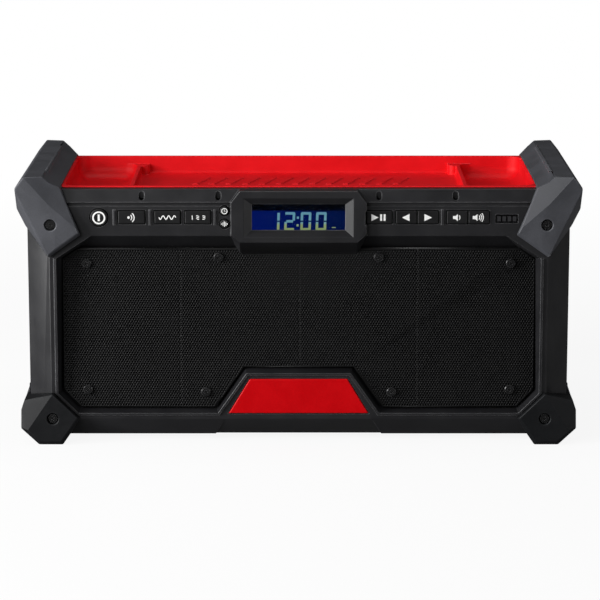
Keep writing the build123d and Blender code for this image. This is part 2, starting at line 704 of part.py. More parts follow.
def recess_rim(depth, grow=0.0):
    """The grille recess's outline at a depth behind the casing's face, grown outwards."""
    share = depth / RECESS_DEPTH
    half, bottom, corner = RECESS_HALF_WIDTH, RECESS_BOTTOM, RECESS_BOTTOM_CORNER
    run, drop = RECESS_TOP_CORNER_RUN, RECESS_TOP_CORNER_DROP
    face = mirrored([
        (half - run, PANEL_BOTTOM), (half, PANEL_BOTTOM - drop), (half, bottom + corner),
        (half - corner, bottom), (NOTCH_FOOT_HALF, bottom), (NOTCH_TOP_HALF, NOTCH_TOP),
    ])
    outline = inset(face, RECESS_DRAFT * share - grow)
    lower = (RECESS_BROW - RECESS_DRAFT) * share
    outline[0] = (outline[0][0] + lower * run / drop, outline[0][1] - lower)
    outline[-1] = (-outline[0][0], outline[0][1])
    return outline


def hood_form(y_front, y_back, grow=0.0):
    """The display housing between two depths: flat cheeks, and a chin that runs back down to the grille."""
    front = mirrored([
        (HOOD_TOP_HALF, CASE_TOP), (HOOD_HALF, HOOD_SHOULDER_Z), (HOOD_HALF, HOOD_CHEEK_Z),
        (HOOD_BOTTOM_HALF, HOOD_BOTTOM),
    ])
    back = mirrored([
        (HOOD_TOP_HALF + HOOD_CHEEK_SPREAD, CASE_TOP), (HOOD_HALF + HOOD_CHEEK_SPREAD, HOOD_SHOULDER_Z),
        (HOOD_HALF + HOOD_CHEEK_SPREAD, HOOD_CHEEK_Z - HOOD_CHEEK_DROP),
        (HOOD_BOTTOM_HALF, HOOD_CHIN_BOTTOM),
    ])
    return frustum_xz(inset(front, -grow), y_front, inset(back, -grow), y_back)


def window_frame(rim_x, rim_z):
    """The display window's rectangle, grown by a rim."""
    half = WINDOW_HALF + rim_x
    return mirrored([(half, WINDOW_TOP + rim_z), (half, WINDOW_BOTTOM - rim_z)])


# ---------------------------------------------------------------- keys
def key_blank(place, proud, grow, depth_to):
    """A key's prism back to a depth. Its place is (x, z, width, height), and a round key has no height."""
    x, z, width, height = place
    front = CASE_FRONT - proud
    if height is None:
        return rod_y(x, z, width / 2 + grow, front, depth_to)
    half_w, half_h = width / 2 + grow, height / 2 + grow
    return block(x - half_w, x + half_w, front, depth_to, z - half_h, z + half_h)


def key_places():
    """Every key's node name and place."""
    name, x, up, size = POWER_KEY
    places = {name: (x, KEY_Z + up, size, None)}
    places.update({name: (x, KEY_Z, width, KEY_HEIGHT) for name, x, width in WIDE_KEYS})
    places.update({name: (x, KEY_Z + up, size, None) for name, x, up, size in SMALL_KEYS})
    return places


def key(place):
    """One key: a cap with softened front edges, and a rim behind the panel that keeps it in."""
    x, z, width, height = place
    wall_back = CASE_FRONT + WALL
    cap = key_blank(place, KEY_PROUD, 0, KEY_BACK)
    front_edges = cap.faces().sort_by(Axis.Y)[0].edges()
    cap = chamfer(front_edges, KEY_EDGE)
    rim = KEY_GAP + KEY_FLANGE_RIM
    if height is None:
        return one(cap + rod_y(x, z, width / 2 + rim, wall_back + SEAT, KEY_BACK))
    half = width / 2
    bar = block(x - half, x + half, wall_back + SEAT, KEY_BACK, z - height / 2 - rim, z + height / 2 + rim)
    return one(cap + bar)


def key_switches():
    """One push switch behind each key."""
    size = SWITCH_SIZE / 2
    return [
        block(x - size, x + size, SWITCH_FRONT, KEY_BOARD_FRONT, z - size, z + size)
        for x, z, _, _ in key_places().values()
    ]


def board_outline():
    """The control board's corners: low x, high x, low z, high z."""
    margin = SWITCH_SIZE
    x_low = POWER_KEY[1] - margin
    x_high = GAUGE_X + GAUGE_WIDTH / 2
    return x_low, x_high, KEY_Z - KEY_HEIGHT, KEY_Z + SMALL_KEYS[0][2] + margin


def control_board():
    x_low, x_high, z_low, z_high = board_outline()
    return block(x_low, x_high, KEY_BOARD_FRONT, KEY_BOARD_BACK, z_low, z_high)


# ---------------------------------------------------------------- display
def display_lens():
    half = WINDOW_HALF + LENS_THICKNESS - SEAT
    rim = LENS_THICKNESS - SEAT
    return block(-half, half, LENS_FRONT, LENS_BACK, WINDOW_BOTTOM - rim, WINDOW_TOP + rim)


def display_panel():
    half = WINDOW_HALF + LENS_THICKNESS + LCD_THICKNESS / 2
    rim = LENS_THICKNESS + LCD_THICKNESS / 2
    return block(-half, half, LENS_BACK + SEAT, LCD_BACK, WINDOW_BOTTOM - rim, WINDOW_TOP + rim)


def gauge_lens():
    """The charge window with its cells standing out of it."""
    half_w, half_h = GAUGE_WIDTH / 2, GAUGE_HEIGHT / 2
    lens = block(
        GAUGE_X - half_w, GAUGE_X + half_w, CASE_FRONT, CASE_FRONT + WALL,
        GAUGE_Z - half_h, GAUGE_Z + half_h,
    )
    cell = (GAUGE_WIDTH - GAUGE_GAP * (GAUGE_BARS + 1)) / GAUGE_BARS
    for i in range(GAUGE_BARS):
        left = GAUGE_X - half_w + GAUGE_GAP + i * (cell + GAUGE_GAP)
        lens += block(
            left, left + cell, CASE_FRONT - GAUGE_RIM / 2, CASE_FRONT,
            GAUGE_Z - half_h + GAUGE_GAP, GAUGE_Z + half_h - GAUGE_GAP,
        )
    return one(lens)


# ---------------------------------------------------------------- front housing
def grille_plane(x, z):
    """Depth of the grille sheet's front at a place on its right half: three folded flats."""
    top, side, _, low, _, notch = grille_outline()[:6]
    at = {
        "top": (top[0], CASE_FRONT + GRILLE_TOP_SET_IN, top[1]),
        "side": (side[0], CASE_FRONT + GRILLE_SIDE_SET_IN, side[1]),
        "low": (low[0], CASE_FRONT + GRILLE_FOOT_SET_IN, low[1]),
        "notch": (notch[0], CASE_FRONT + GRILLE_FOOT_SET_IN, notch[1]),
    }
    middle = plane_height(at["top"], at["notch"], (-notch[0], at["notch"][1], notch[1]))
    wedge = plane_height(at["top"], at["side"], at["notch"])
    lower = plane_height(at["side"], at["low"], at["notch"])

    def above(a, b):
        return (b[0] - a[0]) * (z - a[1]) - (b[1] - a[1]) * (abs(x) - a[0]) > 0

    if above(notch, top):
        return middle(abs(x), z), middle
    if above(notch, side):
        return wedge(abs(x), z), wedge
    return lower(abs(x), z), lower


def grille_outline():
    """The grille sheet's outline, inside the recess at the sheet's deepest."""
    return recess_rim(GRILLE_SIDE_SET_IN + GRILLE_THICKNESS, -FIT)


def front_housing():
    """The front shell: panel with key holes, grille recess, speaker baffle, display hood and brow."""
    body = shell(CASE_FRONT - OVER, FRONT_PARTING)
    walls = frustum_xz(
        recess_rim(0, WALL), CASE_FRONT, recess_rim(RECESS_DEPTH, WALL), BAFFLE_FRONT
    ) + prism_xz(recess_rim(RECESS_DEPTH, WALL), BAFFLE_FRONT, BAFFLE_BACK)
    body += walls & case_envelope()
    bead = prism_xz(recess_rim(0, BEAD_WIDTH), CASE_FRONT - BEAD_RISE, CASE_FRONT)
    body += bead & block(-FAR, FAR, CASE_FRONT - OVER, CASE_FRONT, 0, BEAD_TOP)
    body -= sill_scoop()
    body += front_bosses() & case_envelope()
    body -= frustum_xz(recess_rim(0), CASE_FRONT, recess_rim(RECESS_DEPTH), BAFFLE_FRONT)
    body -= prism_xz(recess_rim(0), CASE_FRONT - BEAD_RISE, CASE_FRONT)
    groove = block(
        -FAR, FAR, CASE_FRONT - OVER, CASE_FRONT + GROOVE_DEPTH, GROOVE_BOTTOM, GROOVE_TOP
    )
    body -= groove
    body += hood_form(HOOD_FRONT, HOOD_BACK)
    for x, z in GRILLE_SCREWS:
        top = grille_plane(x, z)[0] + GRILLE_THICKNESS + GRILLE_SCREW_SEAT
        body += both_sides(rod_y(x, z, GRILLE_BOSS_R, top, BAFFLE_BACK))
    for x in RIDGES_X:
        body += block(
            x - RIDGE_WIDTH / 2, x + RIDGE_WIDTH / 2, CASE_FRONT - RIDGE_PROUD, CASE_FRONT,
            KEY_Z - RIDGE_HEIGHT / 2, KEY_Z + RIDGE_HEIGHT / 2,
        )
    return one(body - front_cuts())


def sill_scoop():
    """What is taken off the middle of the lower front edge, to make it steeper there, with slanted ends."""
    front, low, low_half = CASE_FRONT, CASE_BOTTOM, SILL_SCOOP_HALF
    top, back = low + FRONT_SILL_RISE, front + FRONT_SILL_RUN + SILL_SCOOP_RUN
    wedge = prism_yz([(front, top), (back, low), (back, low - OVER), (front, low - OVER)], -FAR, FAR)
    ends = [(low_half - SILL_SCOOP_END, top), (low_half, low), (low_half, low - OVER)]
    return wedge & prism_xz(mirrored(ends), front - OVER, back + OVER)


def front_bosses():
    """Screw bosses in the front shell: for the guards and for the joint to the main housing."""
    bosses = []
    for x, z in guard_screw_places():
        end = CASE_FRONT + WALL + GUARD_SCREW_REACH + BOSS_END
        bosses.append(rod_y(x, z, BOSS_R, CASE_FRONT, end))
    for x, z in quadrants(CASE_SCREWS):
        bosses.append(rod_y(x, z, CASE_BOSS_R, FRONT_PARTING - CASE_BOSS_LENGTH, FRONT_PARTING))
    return sum_of(bosses)


def sum_of(shapes):
    """All the shapes fused."""
    total = shapes[0]
    for shape in shapes[1:]:
        total += shape
    return total


def front_cuts():
    """Everything that is open in the front shell."""
    cuts = []
    for place in key_places().values():
        cuts.append(key_blank(place, OVER, KEY_GAP, CASE_FRONT + WALL + SEAT))
    x_low, x_high, z_low, z_high = board_outline()
    room = block(
        x_low - FIT, x_high + FIT, CASE_FRONT + WALL, WELL_FRONT - WALL,
        z_low - FIT, z_high + FIT,
    )
    cuts.append(room)
    cuts.append(frustum_xz(
        window_frame(BEZEL_RIM_X, BEZEL_RIM_Z), HOOD_FRONT, window_frame(0, 0), LENS_FRONT
    ))
    seat = LENS_THICKNESS
    cuts.append(prism_xz(window_frame(seat, seat), LENS_FRONT, LENS_BACK))
    back = seat + LCD_THICKNESS / 2 + FIT
    cuts.append(prism_xz(window_frame(back, back), LENS_BACK, WELL_FRONT - WALL))
    half_w, half_h = GAUGE_WIDTH / 2 + SEAT, GAUGE_HEIGHT / 2 + SEAT
    cuts.append(block(
        GAUGE_X - half_w, GAUGE_X + half_w, CASE_FRONT - OVER, CASE_FRONT + WALL,
        GAUGE_Z - half_h, GAUGE_Z + half_h,
    ))
    for x in SLOTS_X:
        for side in (1, -1):
            cuts.append(band_slot(side * x))
    badge_seat = prism_xz(badge_outline(FIT), CASE_FRONT - OVER, CASE_FRONT + BADGE_THICKNESS - BADGE_PROUD)
    cuts.append(badge_seat)
    for side in (1, -1):
        cuts.append(rod_y(side * WOOFER_X, WOOFER_Z, WOOFER_R + FIT, BAFFLE_FRONT, BAFFLE_BACK))
        cuts.append(rod_y(side * TWEETER_X, TWEETER_Z, TWEETER_R + SEAT, BAFFLE_FRONT, BAFFLE_BACK))
        for x, z in woofer_screw_places(side):
            tip = BAFFLE_BACK - WOOFER_SCREW_REACH - SEAT
            cuts.append(rod_y(x, z, WOOFER_SCREW_R + THREAD_FIT, tip, BAFFLE_BACK))
    for x, z in quadrants(GRILLE_SCREWS):
        depth = grille_plane(x, z)[0] + GRILLE_THICKNESS + GRILLE_SCREW_REACH + SEAT
        cuts.append(rod_y(x, z, GRILLE_SCREW_R + THREAD_FIT, CASE_FRONT, depth))
    for x, z in guard_screw_places():
        end = CASE_FRONT + WALL + GUARD_SCREW_REACH + SEAT
        cuts.append(rod_y(x, z, GUARD_SCREW_R + THREAD_FIT, CASE_FRONT, end))
    for x, z in quadrants(CASE_SCREWS):
        start = FRONT_PARTING - CASE_SCREW_REACH - SEAT
        cuts.append(rod_y(x, z, CASE_SCREW_R + THREAD_FIT, start, FRONT_PARTING))
    return sum_of(cuts)


def band_slot(x):
    """An upright oblong recess in the brow."""
    depth = CASE_FRONT + BROW_SETBACK / 2 + SLOT_DEPTH
    straight = (SLOT_HEIGHT - SLOT_WIDTH) / 2
    slot = block(
        x - SLOT_WIDTH / 2, x + SLOT_WIDTH / 2, CASE_FRONT - OVER, depth,
        SLOT_Z - straight, SLOT_Z + straight,
    )
    for z in (SLOT_Z - straight, SLOT_Z + straight):
        slot += rod_y(x, z, SLOT_WIDTH / 2, CASE_FRONT - OVER, depth)
    return slot


def badge_outline(grow=0.0):
    """The badge's blank trapezium."""
    return inset(mirrored([(BADGE_TOP_HALF, BADGE_TOP), (BADGE_FOOT_HALF, BADGE_BOTTOM)]), -grow)


def badge():
    """The blank badge plate, its front edges bevelled."""
    front = CASE_FRONT - BADGE_PROUD
    plate = prism_xz(badge_outline(), front, front + BADGE_THICKNESS)
    return chamfer(plate.faces().sort_by(Axis.Y)[0].edges(), BADGE_PROUD)


# ---------------------------------------------------------------- grille sheet and its screws
def speaker_grille():
    """The folded sheet over the loudspeakers; its fine perforation is a finish."""
    outline = grille_outline()
    top, side, corner, low, foot, notch = outline[:6]
    flats = ([top, side, notch], [side, corner, low, foot, notch])
    middle = [top, notch, (-notch[0], notch[1]), (-top[0], top[1])]
    sheet = grille_flat(middle, (0, (top[1] + notch[1]) / 2))
    for points in flats:
        middle_x = sum(x for x, _ in points) / len(points)
        middle_z = sum(z for _, z in points) / len(points)
        sheet += both_sides(grille_flat(points, (middle_x, middle_z)))
    sheet -= hood_form(HOOD_FRONT, HOOD_BACK, FIT)
    for x, z in quadrants(GRILLE_SCREWS):
        sheet -= rod_y(x, z, GRILLE_SCREW_R + FIT, CASE_FRONT, BAFFLE_FRONT)
    return one(sheet)


def grille_flat(points, inside):
    """One flat of the grille sheet over an (x, z) polygon that holds the inside place."""
    plane = grille_plane(*inside)[1]
    outline = Wire.make_polygon([(x, plane(x, z), z) for x, z in points])
    return extrude(Face(outline), amount=GRILLE_THICKNESS, dir=(0, 1, 0))


def grille_screws():
    """Pan-head screws with six-lobed recesses."""
    screws = []
    for x, z in quadrants(GRILLE_SCREWS):
        sheet = grille_plane(x, z)[0]
        head_back = sheet - GRILLE_SCREW_SEAT
        head_front = head_back - GRILLE_SCREW_HEAD
        head = rod_y(x, z, GRILLE_SCREW_HEAD_R, head_front, head_back)
        head = chamfer(head.faces().sort_by(Axis.Y)[0].edges(), GRILLE_SCREW_HEAD / 3)
        shank = rod_y(x, z, GRILLE_SCREW_R, head_back, sheet + GRILLE_THICKNESS + GRILLE_SCREW_REACH)
        screws.append(one(head + shank - torx_recess(x, z, head_front, 1)))
    return screws


# ---------------------------------------------------------------- main housing and back cover
def main_housing():
    """The middle shell: deck, finger pockets, grip shoulders and bosses for both joints."""
    body = shell(MAIN_FRONT, BACK_PARTING)
    bosses = []
    for x, z in quadrants(CASE_SCREWS):
        bosses.append(rod_y(x, z, CASE_BOSS_R, MAIN_FRONT, MAIN_FRONT + CASE_SCREW_TAB))
        bosses.append(rod_y(x, z, CASE_BOSS_R, BACK_PARTING - CASE_BOSS_LENGTH, BACK_PARTING))
    body += sum_of(bosses) & casing()
    for x, z in quadrants(CASE_SCREWS):
        body -= rod_y(x, z, CASE_SCREW_R + FIT, MAIN_FRONT, MAIN_FRONT + CASE_SCREW_TAB)
        start = BACK_PARTING - CASE_SCREW_REACH - SEAT
        body -= rod_y(x, z, CASE_SCREW_R + THREAD_FIT, start, BACK_PARTING)
    for x, y in tray_screw_places():
        body -= rod_z(x, y, TRAY_SCREW_R + FIT, DECK_TOP - WALL, DECK_TOP)
    return one(body)


def back_cover():
    """The rear shell: battery bay with its rails, board posts, socket well and antenna mount."""
    body = shell(COVER_FRONT, CASE_BACK)
    tub = block(
        -BAY_HALF_WIDTH - BAY_WALL, BAY_HALF_WIDTH + BAY_WALL, BAY_FLOOR - BAY_WALL, CASE_BACK,
        BAY_BOTTOM - BAY_WALL, BAY_TOP + BAY_WALL,
    )
    additions = [tub, socket_box()]
    additions.append(rod_y(ANTENNA_X, ANTENNA_Z, KNUCKLE_R, CASE_BACK - PIN_SEAT - BOSS_END, CASE_BACK))
    for x, z in quadrants(CASE_SCREWS):
        additions.append(rod_y(x, z, CASE_BOSS_R, COVER_FRONT, CASE_BACK))
    for x, z in guard_screw_places():
        start = CASE_BACK - WALL - GUARD_SCREW_REACH - BOSS_END
        additions.append(rod_y(x, z, BOSS_R, start, CASE_BACK))
    for x, z in board_post_places():
        additions.append(rod_y(x, z, POST_R, BAY_FLOOR - BAY_WALL - POST_LENGTH, BAY_FLOOR))
    body += sum_of(additions) & case_envelope()
    body -= block(-BAY_HALF_WIDTH, BAY_HALF_WIDTH, BAY_FLOOR, CASE_BACK, BAY_BOTTOM, BAY_TOP)
    body += rails() + antenna_clip()
    return one(body - back_cuts())


def rails():
    """Two facing rails on the bay's floor that hold the pack's tongue."""
    lip_low, lip_high = RAIL_GAP_HALF, RAIL_GAP_HALF + RAIL_LIP
    section = [
        (BAY_FLOOR, lip_high), (BAY_FLOOR, lip_high + RAIL_THICKNESS),
        (RAIL_TOP, lip_high + RAIL_THICKNESS), (RAIL_TOP, lip_low),
        (RAIL_TOP - RAIL_LIP, lip_low), (RAIL_TOP - RAIL_LIP, lip_high),
    ]
    x_low, x_high = PACK_START, PACK_START + PACK_LENGTH
    upper = prism_yz([(y, BAY_Z + z) for y, z in section], x_low, x_high)
    lower = prism_yz([(y, BAY_Z - z) for y, z in section], x_low, x_high)
    return upper + lower


def antenna_clip():
    """A shelf with a lip that the stowed rod rests in, open upwards."""
    radius = antenna_radius(ANTENNA_CLIP_X + CLIP_LENGTH / 2)
    shelf_top = ANTENNA_Z - ANTENNA_R - FIT
    lip_in = ANTENNA_Y + ANTENNA_R + FIT
    x_low, x_high = ANTENNA_CLIP_X - CLIP_LENGTH / 2, ANTENNA_CLIP_X + CLIP_LENGTH / 2
    shelf = block(x_low, x_high, CASE_BACK, lip_in + CLIP_WALL / 2, shelf_top - CLIP_WALL, shelf_top)
    return shelf + block(x_low, x_high, lip_in, lip_in + CLIP_WALL / 2, shelf_top, ANTENNA_Z - radius / 2)


def antenna_radius(x):
    """The rod's radius at a place along it."""
    share = (x - ANTENNA_X) / ANTENNA_LENGTH
    return ANTENNA_R + (ANTENNA_TIP_R - ANTENNA_R) * share


def socket_box():
    """The solid around the socket well."""
    half_w = FLAP_WIDTH / 2 + FIT + SOCKET_FLOOR
    half_h = FLAP_HEIGHT / 2 + FIT + SOCKET_FLOOR
    return block(
        FLAP_X - half_w, FLAP_X + half_w, WELL_FLOOR - SOCKET_FLOOR, CASE_BACK,
        FLAP_Z - half_h, FLAP_Z + half_h,
    )


def back_cuts():
    """Everything that is open in the back cover, apart from the bay."""
    half_w, half_h = FLAP_WIDTH / 2 + FIT, FLAP_HEIGHT / 2 + FIT
    cuts = [block(
        FLAP_X - half_w, FLAP_X + half_w, WELL_FLOOR, CASE_BACK + OVER, FLAP_Z - half_h, FLAP_Z + half_h
    )]
    pin_half = FLAP_WIDTH / 2 + FLAP_PIN_SEAT
    pin_bore = FLAP_PIN_R + THREAD_FIT
    cuts.append(rod_x(FLAP_AXIS_Y, FLAP_AXIS_Z, pin_bore, FLAP_X - pin_half, FLAP_X + pin_half))
    cuts.append(usb_block(SEAT, WELL_FLOOR))
    cuts.append(rod_y(AUX_X, FLAP_Z, AUX_BODY / 2 + SEAT, WELL_FLOOR - SOCKET_FLOOR, WELL_FLOOR))
    pin_end = CASE_BACK - PIN_SEAT - SEAT
    cuts.append(rod_y(ANTENNA_X, ANTENNA_Z, ANTENNA_PIN_R + THREAD_FIT, pin_end, CASE_BACK))
    for x, z in quadrants(CASE_SCREWS):
        cuts.append(rod_y(x, z, CASE_SCREW_R + FIT, COVER_FRONT, CASE_BACK))
        seat = COVER_FRONT + CASE_SCREW_TAB
        cuts.append(rod_y(x, z, CASE_SCREW_HEAD_R + FIT, seat, CASE_BACK))
    for x, z in guard_screw_places():
        start = CASE_BACK - WALL - GUARD_SCREW_REACH - SEAT
        cuts.append(rod_y(x, z, GUARD_SCREW_R + THREAD_FIT, start, CASE_BACK))
    for x, z in board_post_places():
        start = BAY_FLOOR - BAY_WALL - POST_LENGTH
        cuts.append(rod_y(x, z, BOARD_SCREW_R + THREAD_FIT, start, start + BOARD_SCREW_REACH + SEAT))
    return sum_of(cuts)


def rod_x(y, z, radius, x_low, x_high):
    """A cylinder along X."""
    return Pos((x_low + x_high) / 2, y, z) * Rot(0, 90, 0) * Cylinder(radius, x_high - x_low)


def gaskets():
    """A flat seal in each joint between the shells."""
    margin = (WALL - GASKET_WIDTH) / 2
    ring = casing(-margin) - casing(-margin - GASKET_WIDTH)
    reach = FAR
    pieces = []
    for y_low in (FRONT_PARTING, BACK_PARTING):
        pieces.append(one(ring & block(-reach, reach, y_low, y_low + GASKET, 0, CASE_TOP + OVER)))
    return pieces


def case_screws():
    """The screws of both joints between the shells."""
    screws = []
    for x, z in quadrants(CASE_SCREWS):
        for seat, joint in ((MAIN_FRONT, FRONT_PARTING), (COVER_FRONT, BACK_PARTING)):
            head_y = seat + CASE_SCREW_TAB
            shank = rod_y(x, z, CASE_SCREW_R, joint - CASE_SCREW_REACH, head_y)
            head_back = head_y + CASE_SCREW_HEAD
            head = rod_y(x, z, CASE_SCREW_HEAD_R, head_y, head_back)
            screws.append(one(shank + head - torx_recess(x, z, head_back, -1)))
    return screws


# ---------------------------------------------------------------- guards
def grip_guard():
    """The right top guard: face plate, grip beam and rear plate, wrapped round the casing's corners."""
    outline = from_top(
        GRIP_TOP_OUT, GRIP_TOP_IN, GRIP_CREASE, GRIP_TRAY, GRIP_TOE, GRIP_TIP, GRIP_HEM, GRIP_WAIST,
        GRIP_SHOULDER,
    )
    guard = prism_xz(outline, GUARD_FRONT, GUARD_BACK)
    cutters = flank_cut(*from_top(GRIP_SHOULDER, GRIP_TIP, GRIP_HEM), GRIP_FLANK_SLOPE, 0)
    ridge = from_top(GRIP_RIDGE_TOP, GRIP_RIDGE_FOOT)
    outer_fall = line_frame(*ridge, *from_top(GRIP_TOP_OUT))[-1] * OUTER_TILT
    cutters += face_cut(*ridge, *from_top(GRIP_TOP_OUT), (0, 0, outer_fall), OVER)
    crease = from_top(GRIP_TOP_OUT, GRIP_FACET_FOOT, GRIP_CREASE)
    cutters += face_cut(*crease, (outer_fall, 0, GRIP_FACET_FALL), OVER, -CREASE_OVERRUN)
    cutters += toe_cut(*from_top(GRIP_TOE, GRIP_TIP, GRIP_SHOULDER))
    rear_corner = face_cut(
        *from_top(GRIP_TOP_IN, GRIP_REAR_CUT_LOW, GRIP_TRAY), (0, 0, GRIP_REAR_CUT_RUN), OVER
    )
    guard -= cutters + mirror(cutters + rear_corner, about=Plane.XZ)
    guard += grip_bead()
    guard -= case_envelope(FIT)
    guard -= tray_envelope(FIT)
    (inner, _), (_, low), (outer, _) = from_top(GRIP_TOE, GRIP_TIP, GRIP_SHOULDER)
    span = GRIP_SPAN
    drop = SHOULDER_Z + FIT - low
    gap = [
        (-span, SHOULDER_Z + FIT), (span, SHOULDER_Z + FIT),
        (span + drop * GRIP_SPAN_SLOPE, low), (-span - drop * GRIP_SPAN_SLOPE, low),
    ]
    guard -= prism_yz(gap, inner, outer + OVER)
    guard -= grip_bar(SEAT)
    return one(guard - guard_screw_cuts(*from_top(GUARD_SCREW_TOP)))


def grip_bead():
    """The raised line along the right grip's inner upper edge, with round ends."""
    (x, z), half = from_top(GRIP_TOP_IN)[0], GRIP_BEAD_HALF_LENGTH
    x, z = x - GRIP_BEAD_SINK / 2, z - GRIP_BEAD_SINK
    ends = Pos(x, half, z) * Sphere(GRIP_BEAD_R) + Pos(x, -half, z) * Sphere(GRIP_BEAD_R)
    return rod_y(x, z, GRIP_BEAD_R, -half, half) + ends


def grip_bar(grow=0.0):
    """The right grip's steel bar, lying on the casing's shoulder."""
    low = SHOULDER_Z + FIT - grow
    half = BAR_HALF_LENGTH + grow
    reach = BAR_WIDTH / 2 + grow
    return block(BAR_X - reach, BAR_X + reach, -half, half, low, low + BAR_HEIGHT + grow * 2)


def skid_guard():
    """The right bottom guard: corner caps joined by a runner that the radio stands on."""
    outline = from_bottom(
        SKID_HEM, SKID_OUT_TOP, SKID_OUT_BOTTOM, SKID_SOLE_OUT, SKID_SOLE_IN, SKID_BELLY, SKID_TOE,
        SKID_APEX,
    )
    guard = prism_xz(outline, GUARD_FRONT, GUARD_BACK)
    flank = from_bottom(SKID_FLANK_TOP, SKID_APEX, SKID_HEM)
    cutters = flank_cut(*flank, SKID_FLANK_SLOPE, SKID_FLANK_DEPTH)
    crease = from_bottom(SKID_APEX, SKID_FACET_FOOT, SKID_OUT_TOP)
    cutters += face_cut(*crease, (0, 0, SKID_FACET_FALL), OVER)
    sole = (SKID_BELLY, SKID_SOLE_IN, SKID_SOLE_OUT, SKID_OUT_BOTTOM)
    for start, end in zip(sole, sole[1:]):
        cutters += toe_cut(*from_bottom(start, end, SKID_APEX))
    guard -= cutters + mirror(cutters, about=Plane.XZ)
    guard -= case_envelope(FIT)
    (inner, _), (outer, _), (_, hem) = from_bottom(SKID_TOE, SKID_OUT_TOP, SKID_HEM)
    top = hem + WALL
    wide = SKID_SPAN + (top - SKID_WAIST_Z) * GRIP_SPAN_SLOPE
    gap = [(-SKID_SPAN, SKID_WAIST_Z), (SKID_SPAN, SKID_WAIST_Z), (wide, top), (-wide, top)]
    guard -= prism_yz(gap, inner, outer + OVER)
    return one(guard - guard_screw_cuts(*from_bottom(GUARD_SCREW_BOTTOM)))


def band_beside(start, end, towards, low, high):
    """The band along a line between two distances on the towards side of it, run on past its ends."""
    (ax, az), (bx, bz) = start, end
    ux, uz, nx, nz, _ = line_frame(start, end, towards)
    return [
        (ax - ux * OVER + nx * low, az - uz * OVER + nz * low),
        (bx + ux * OVER + nx * low, bz + uz * OVER + nz * low),
        (bx + ux * OVER + nx * high, bz + uz * OVER + nz * high),
        (ax - ux * OVER + nx * high, az - uz * OVER + nz * high),
    ]


def line_frame(start, end, towards):
    """A line's direction, its normal on the towards side, and how far off it that point lies."""
    (ax, az), (bx, bz) = start, end
    length = hypot(bx - ax, bz - az)
    ux, uz = (bx - ax) / length, (bz - az) / length
    away = (towards[0] - ax) * uz - (towards[1] - az) * ux
    side = 1 if away > 0 else -1
    return ux, uz, side * uz, -side * ux, abs(away)


def face_cut(start, end, towards, falls, reach, low=0.0):
    """What lies in front of a plane through three places of the guards' face, on the third one's side.

    Each fall says how far behind the face the plane passes at its place, and low where the cut starts
    beside the line from the first place to the second.
    """
    points = [(x, GUARD_FRONT + fall, z) for (x, z), fall in zip((start, end, towards), falls)]
    return in_front_of(plane_height(*points), band_beside(start, end, towards, low, OVER), reach)


def flank_cut(start, end, hem, slope, depth):
    """Cuts the face back outside a line, down to the hem, from a depth behind the face."""
    away = line_frame(start, end, hem)[-1]
    return face_cut(start, end, hem, (depth, depth, depth + away * slope), GUARD_BACK)


def toe_cut(start, end, tip):
    """Bevels the face along the edge from start to end, whose outer side is away from the tip."""
    _, _, nx, nz, _ = line_frame(start, end, tip)
    shift_x, shift_z = nx * TOE_BEVEL, nz * TOE_BEVEL
    inner_start = (start[0] + shift_x, start[1] + shift_z)
    inner_end = (end[0] + shift_x, end[1] + shift_z)
    return face_cut(inner_start, inner_end, start, (0, 0, TOE_BEVEL), OVER)


def guard_screw_cuts(place):
    """Through holes and counterbores in a guard's face and rear plates."""
    x, z = place
    front_sink, rear_sink = GUARD_FRONT + GUARD_SCREW_SINK, GUARD_BACK - GUARD_SCREW_SINK
    cut = rod_y(x, z, GUARD_BORE_R, GUARD_FRONT - OVER, front_sink)
    cut += rod_y(x, z, GUARD_SCREW_R + FIT, front_sink, CASE_FRONT + WALL)
    cut += rod_y(x, z, GUARD_SCREW_R + FIT, CASE_BACK - WALL, rear_sink)
    return cut + rod_y(x, z, GUARD_BORE_R, rear_sink, GUARD_BACK + OVER)


def guard_screws():
    """The screws that hold the guards, four in front and four behind."""
    screws = []
    bevel = GUARD_SCREW_HEAD / 4
    for x, z in guard_screw_places():
        sink = GUARD_FRONT + GUARD_SCREW_SINK
        face = sink - GUARD_SCREW_HEAD
        head = rod_y(x, z, GUARD_SCREW_HEAD_R, face, sink)
        head = chamfer(head.faces().sort_by(Axis.Y)[0].edges(), bevel)
        shank = rod_y(x, z, GUARD_SCREW_R, sink, CASE_FRONT + WALL + GUARD_SCREW_REACH)
        screws.append(one(head + shank - torx_recess(x, z, face, 1)))
        sink = GUARD_BACK - GUARD_SCREW_SINK
        face = sink + GUARD_SCREW_HEAD
        head = rod_y(x, z, GUARD_SCREW_HEAD_R, sink, face)
        head = chamfer(head.faces().sort_by(Axis.Y)[-1].edges(), bevel)
        shank = rod_y(x, z, GUARD_SCREW_R, CASE_BACK - WALL - GUARD_SCREW_REACH, sink)
        screws.append(one(head + shank - torx_recess(x, z, face, -1)))
    return screws


# ---------------------------------------------------------------- tray
def tray_screw_places():
    """In the lugs on the inner side of each divider, clear of the joints between the shells."""
    x = DIVIDER_X + DIVIDER_THICKNESS / 2 - DIVIDER_LUG
    clear = TRAY_SCREW_HEAD_R + GASKET
    return [(side * x, y) for side in (1, -1) for y in (MAIN_FRONT + clear, BACK_PARTING - clear)]


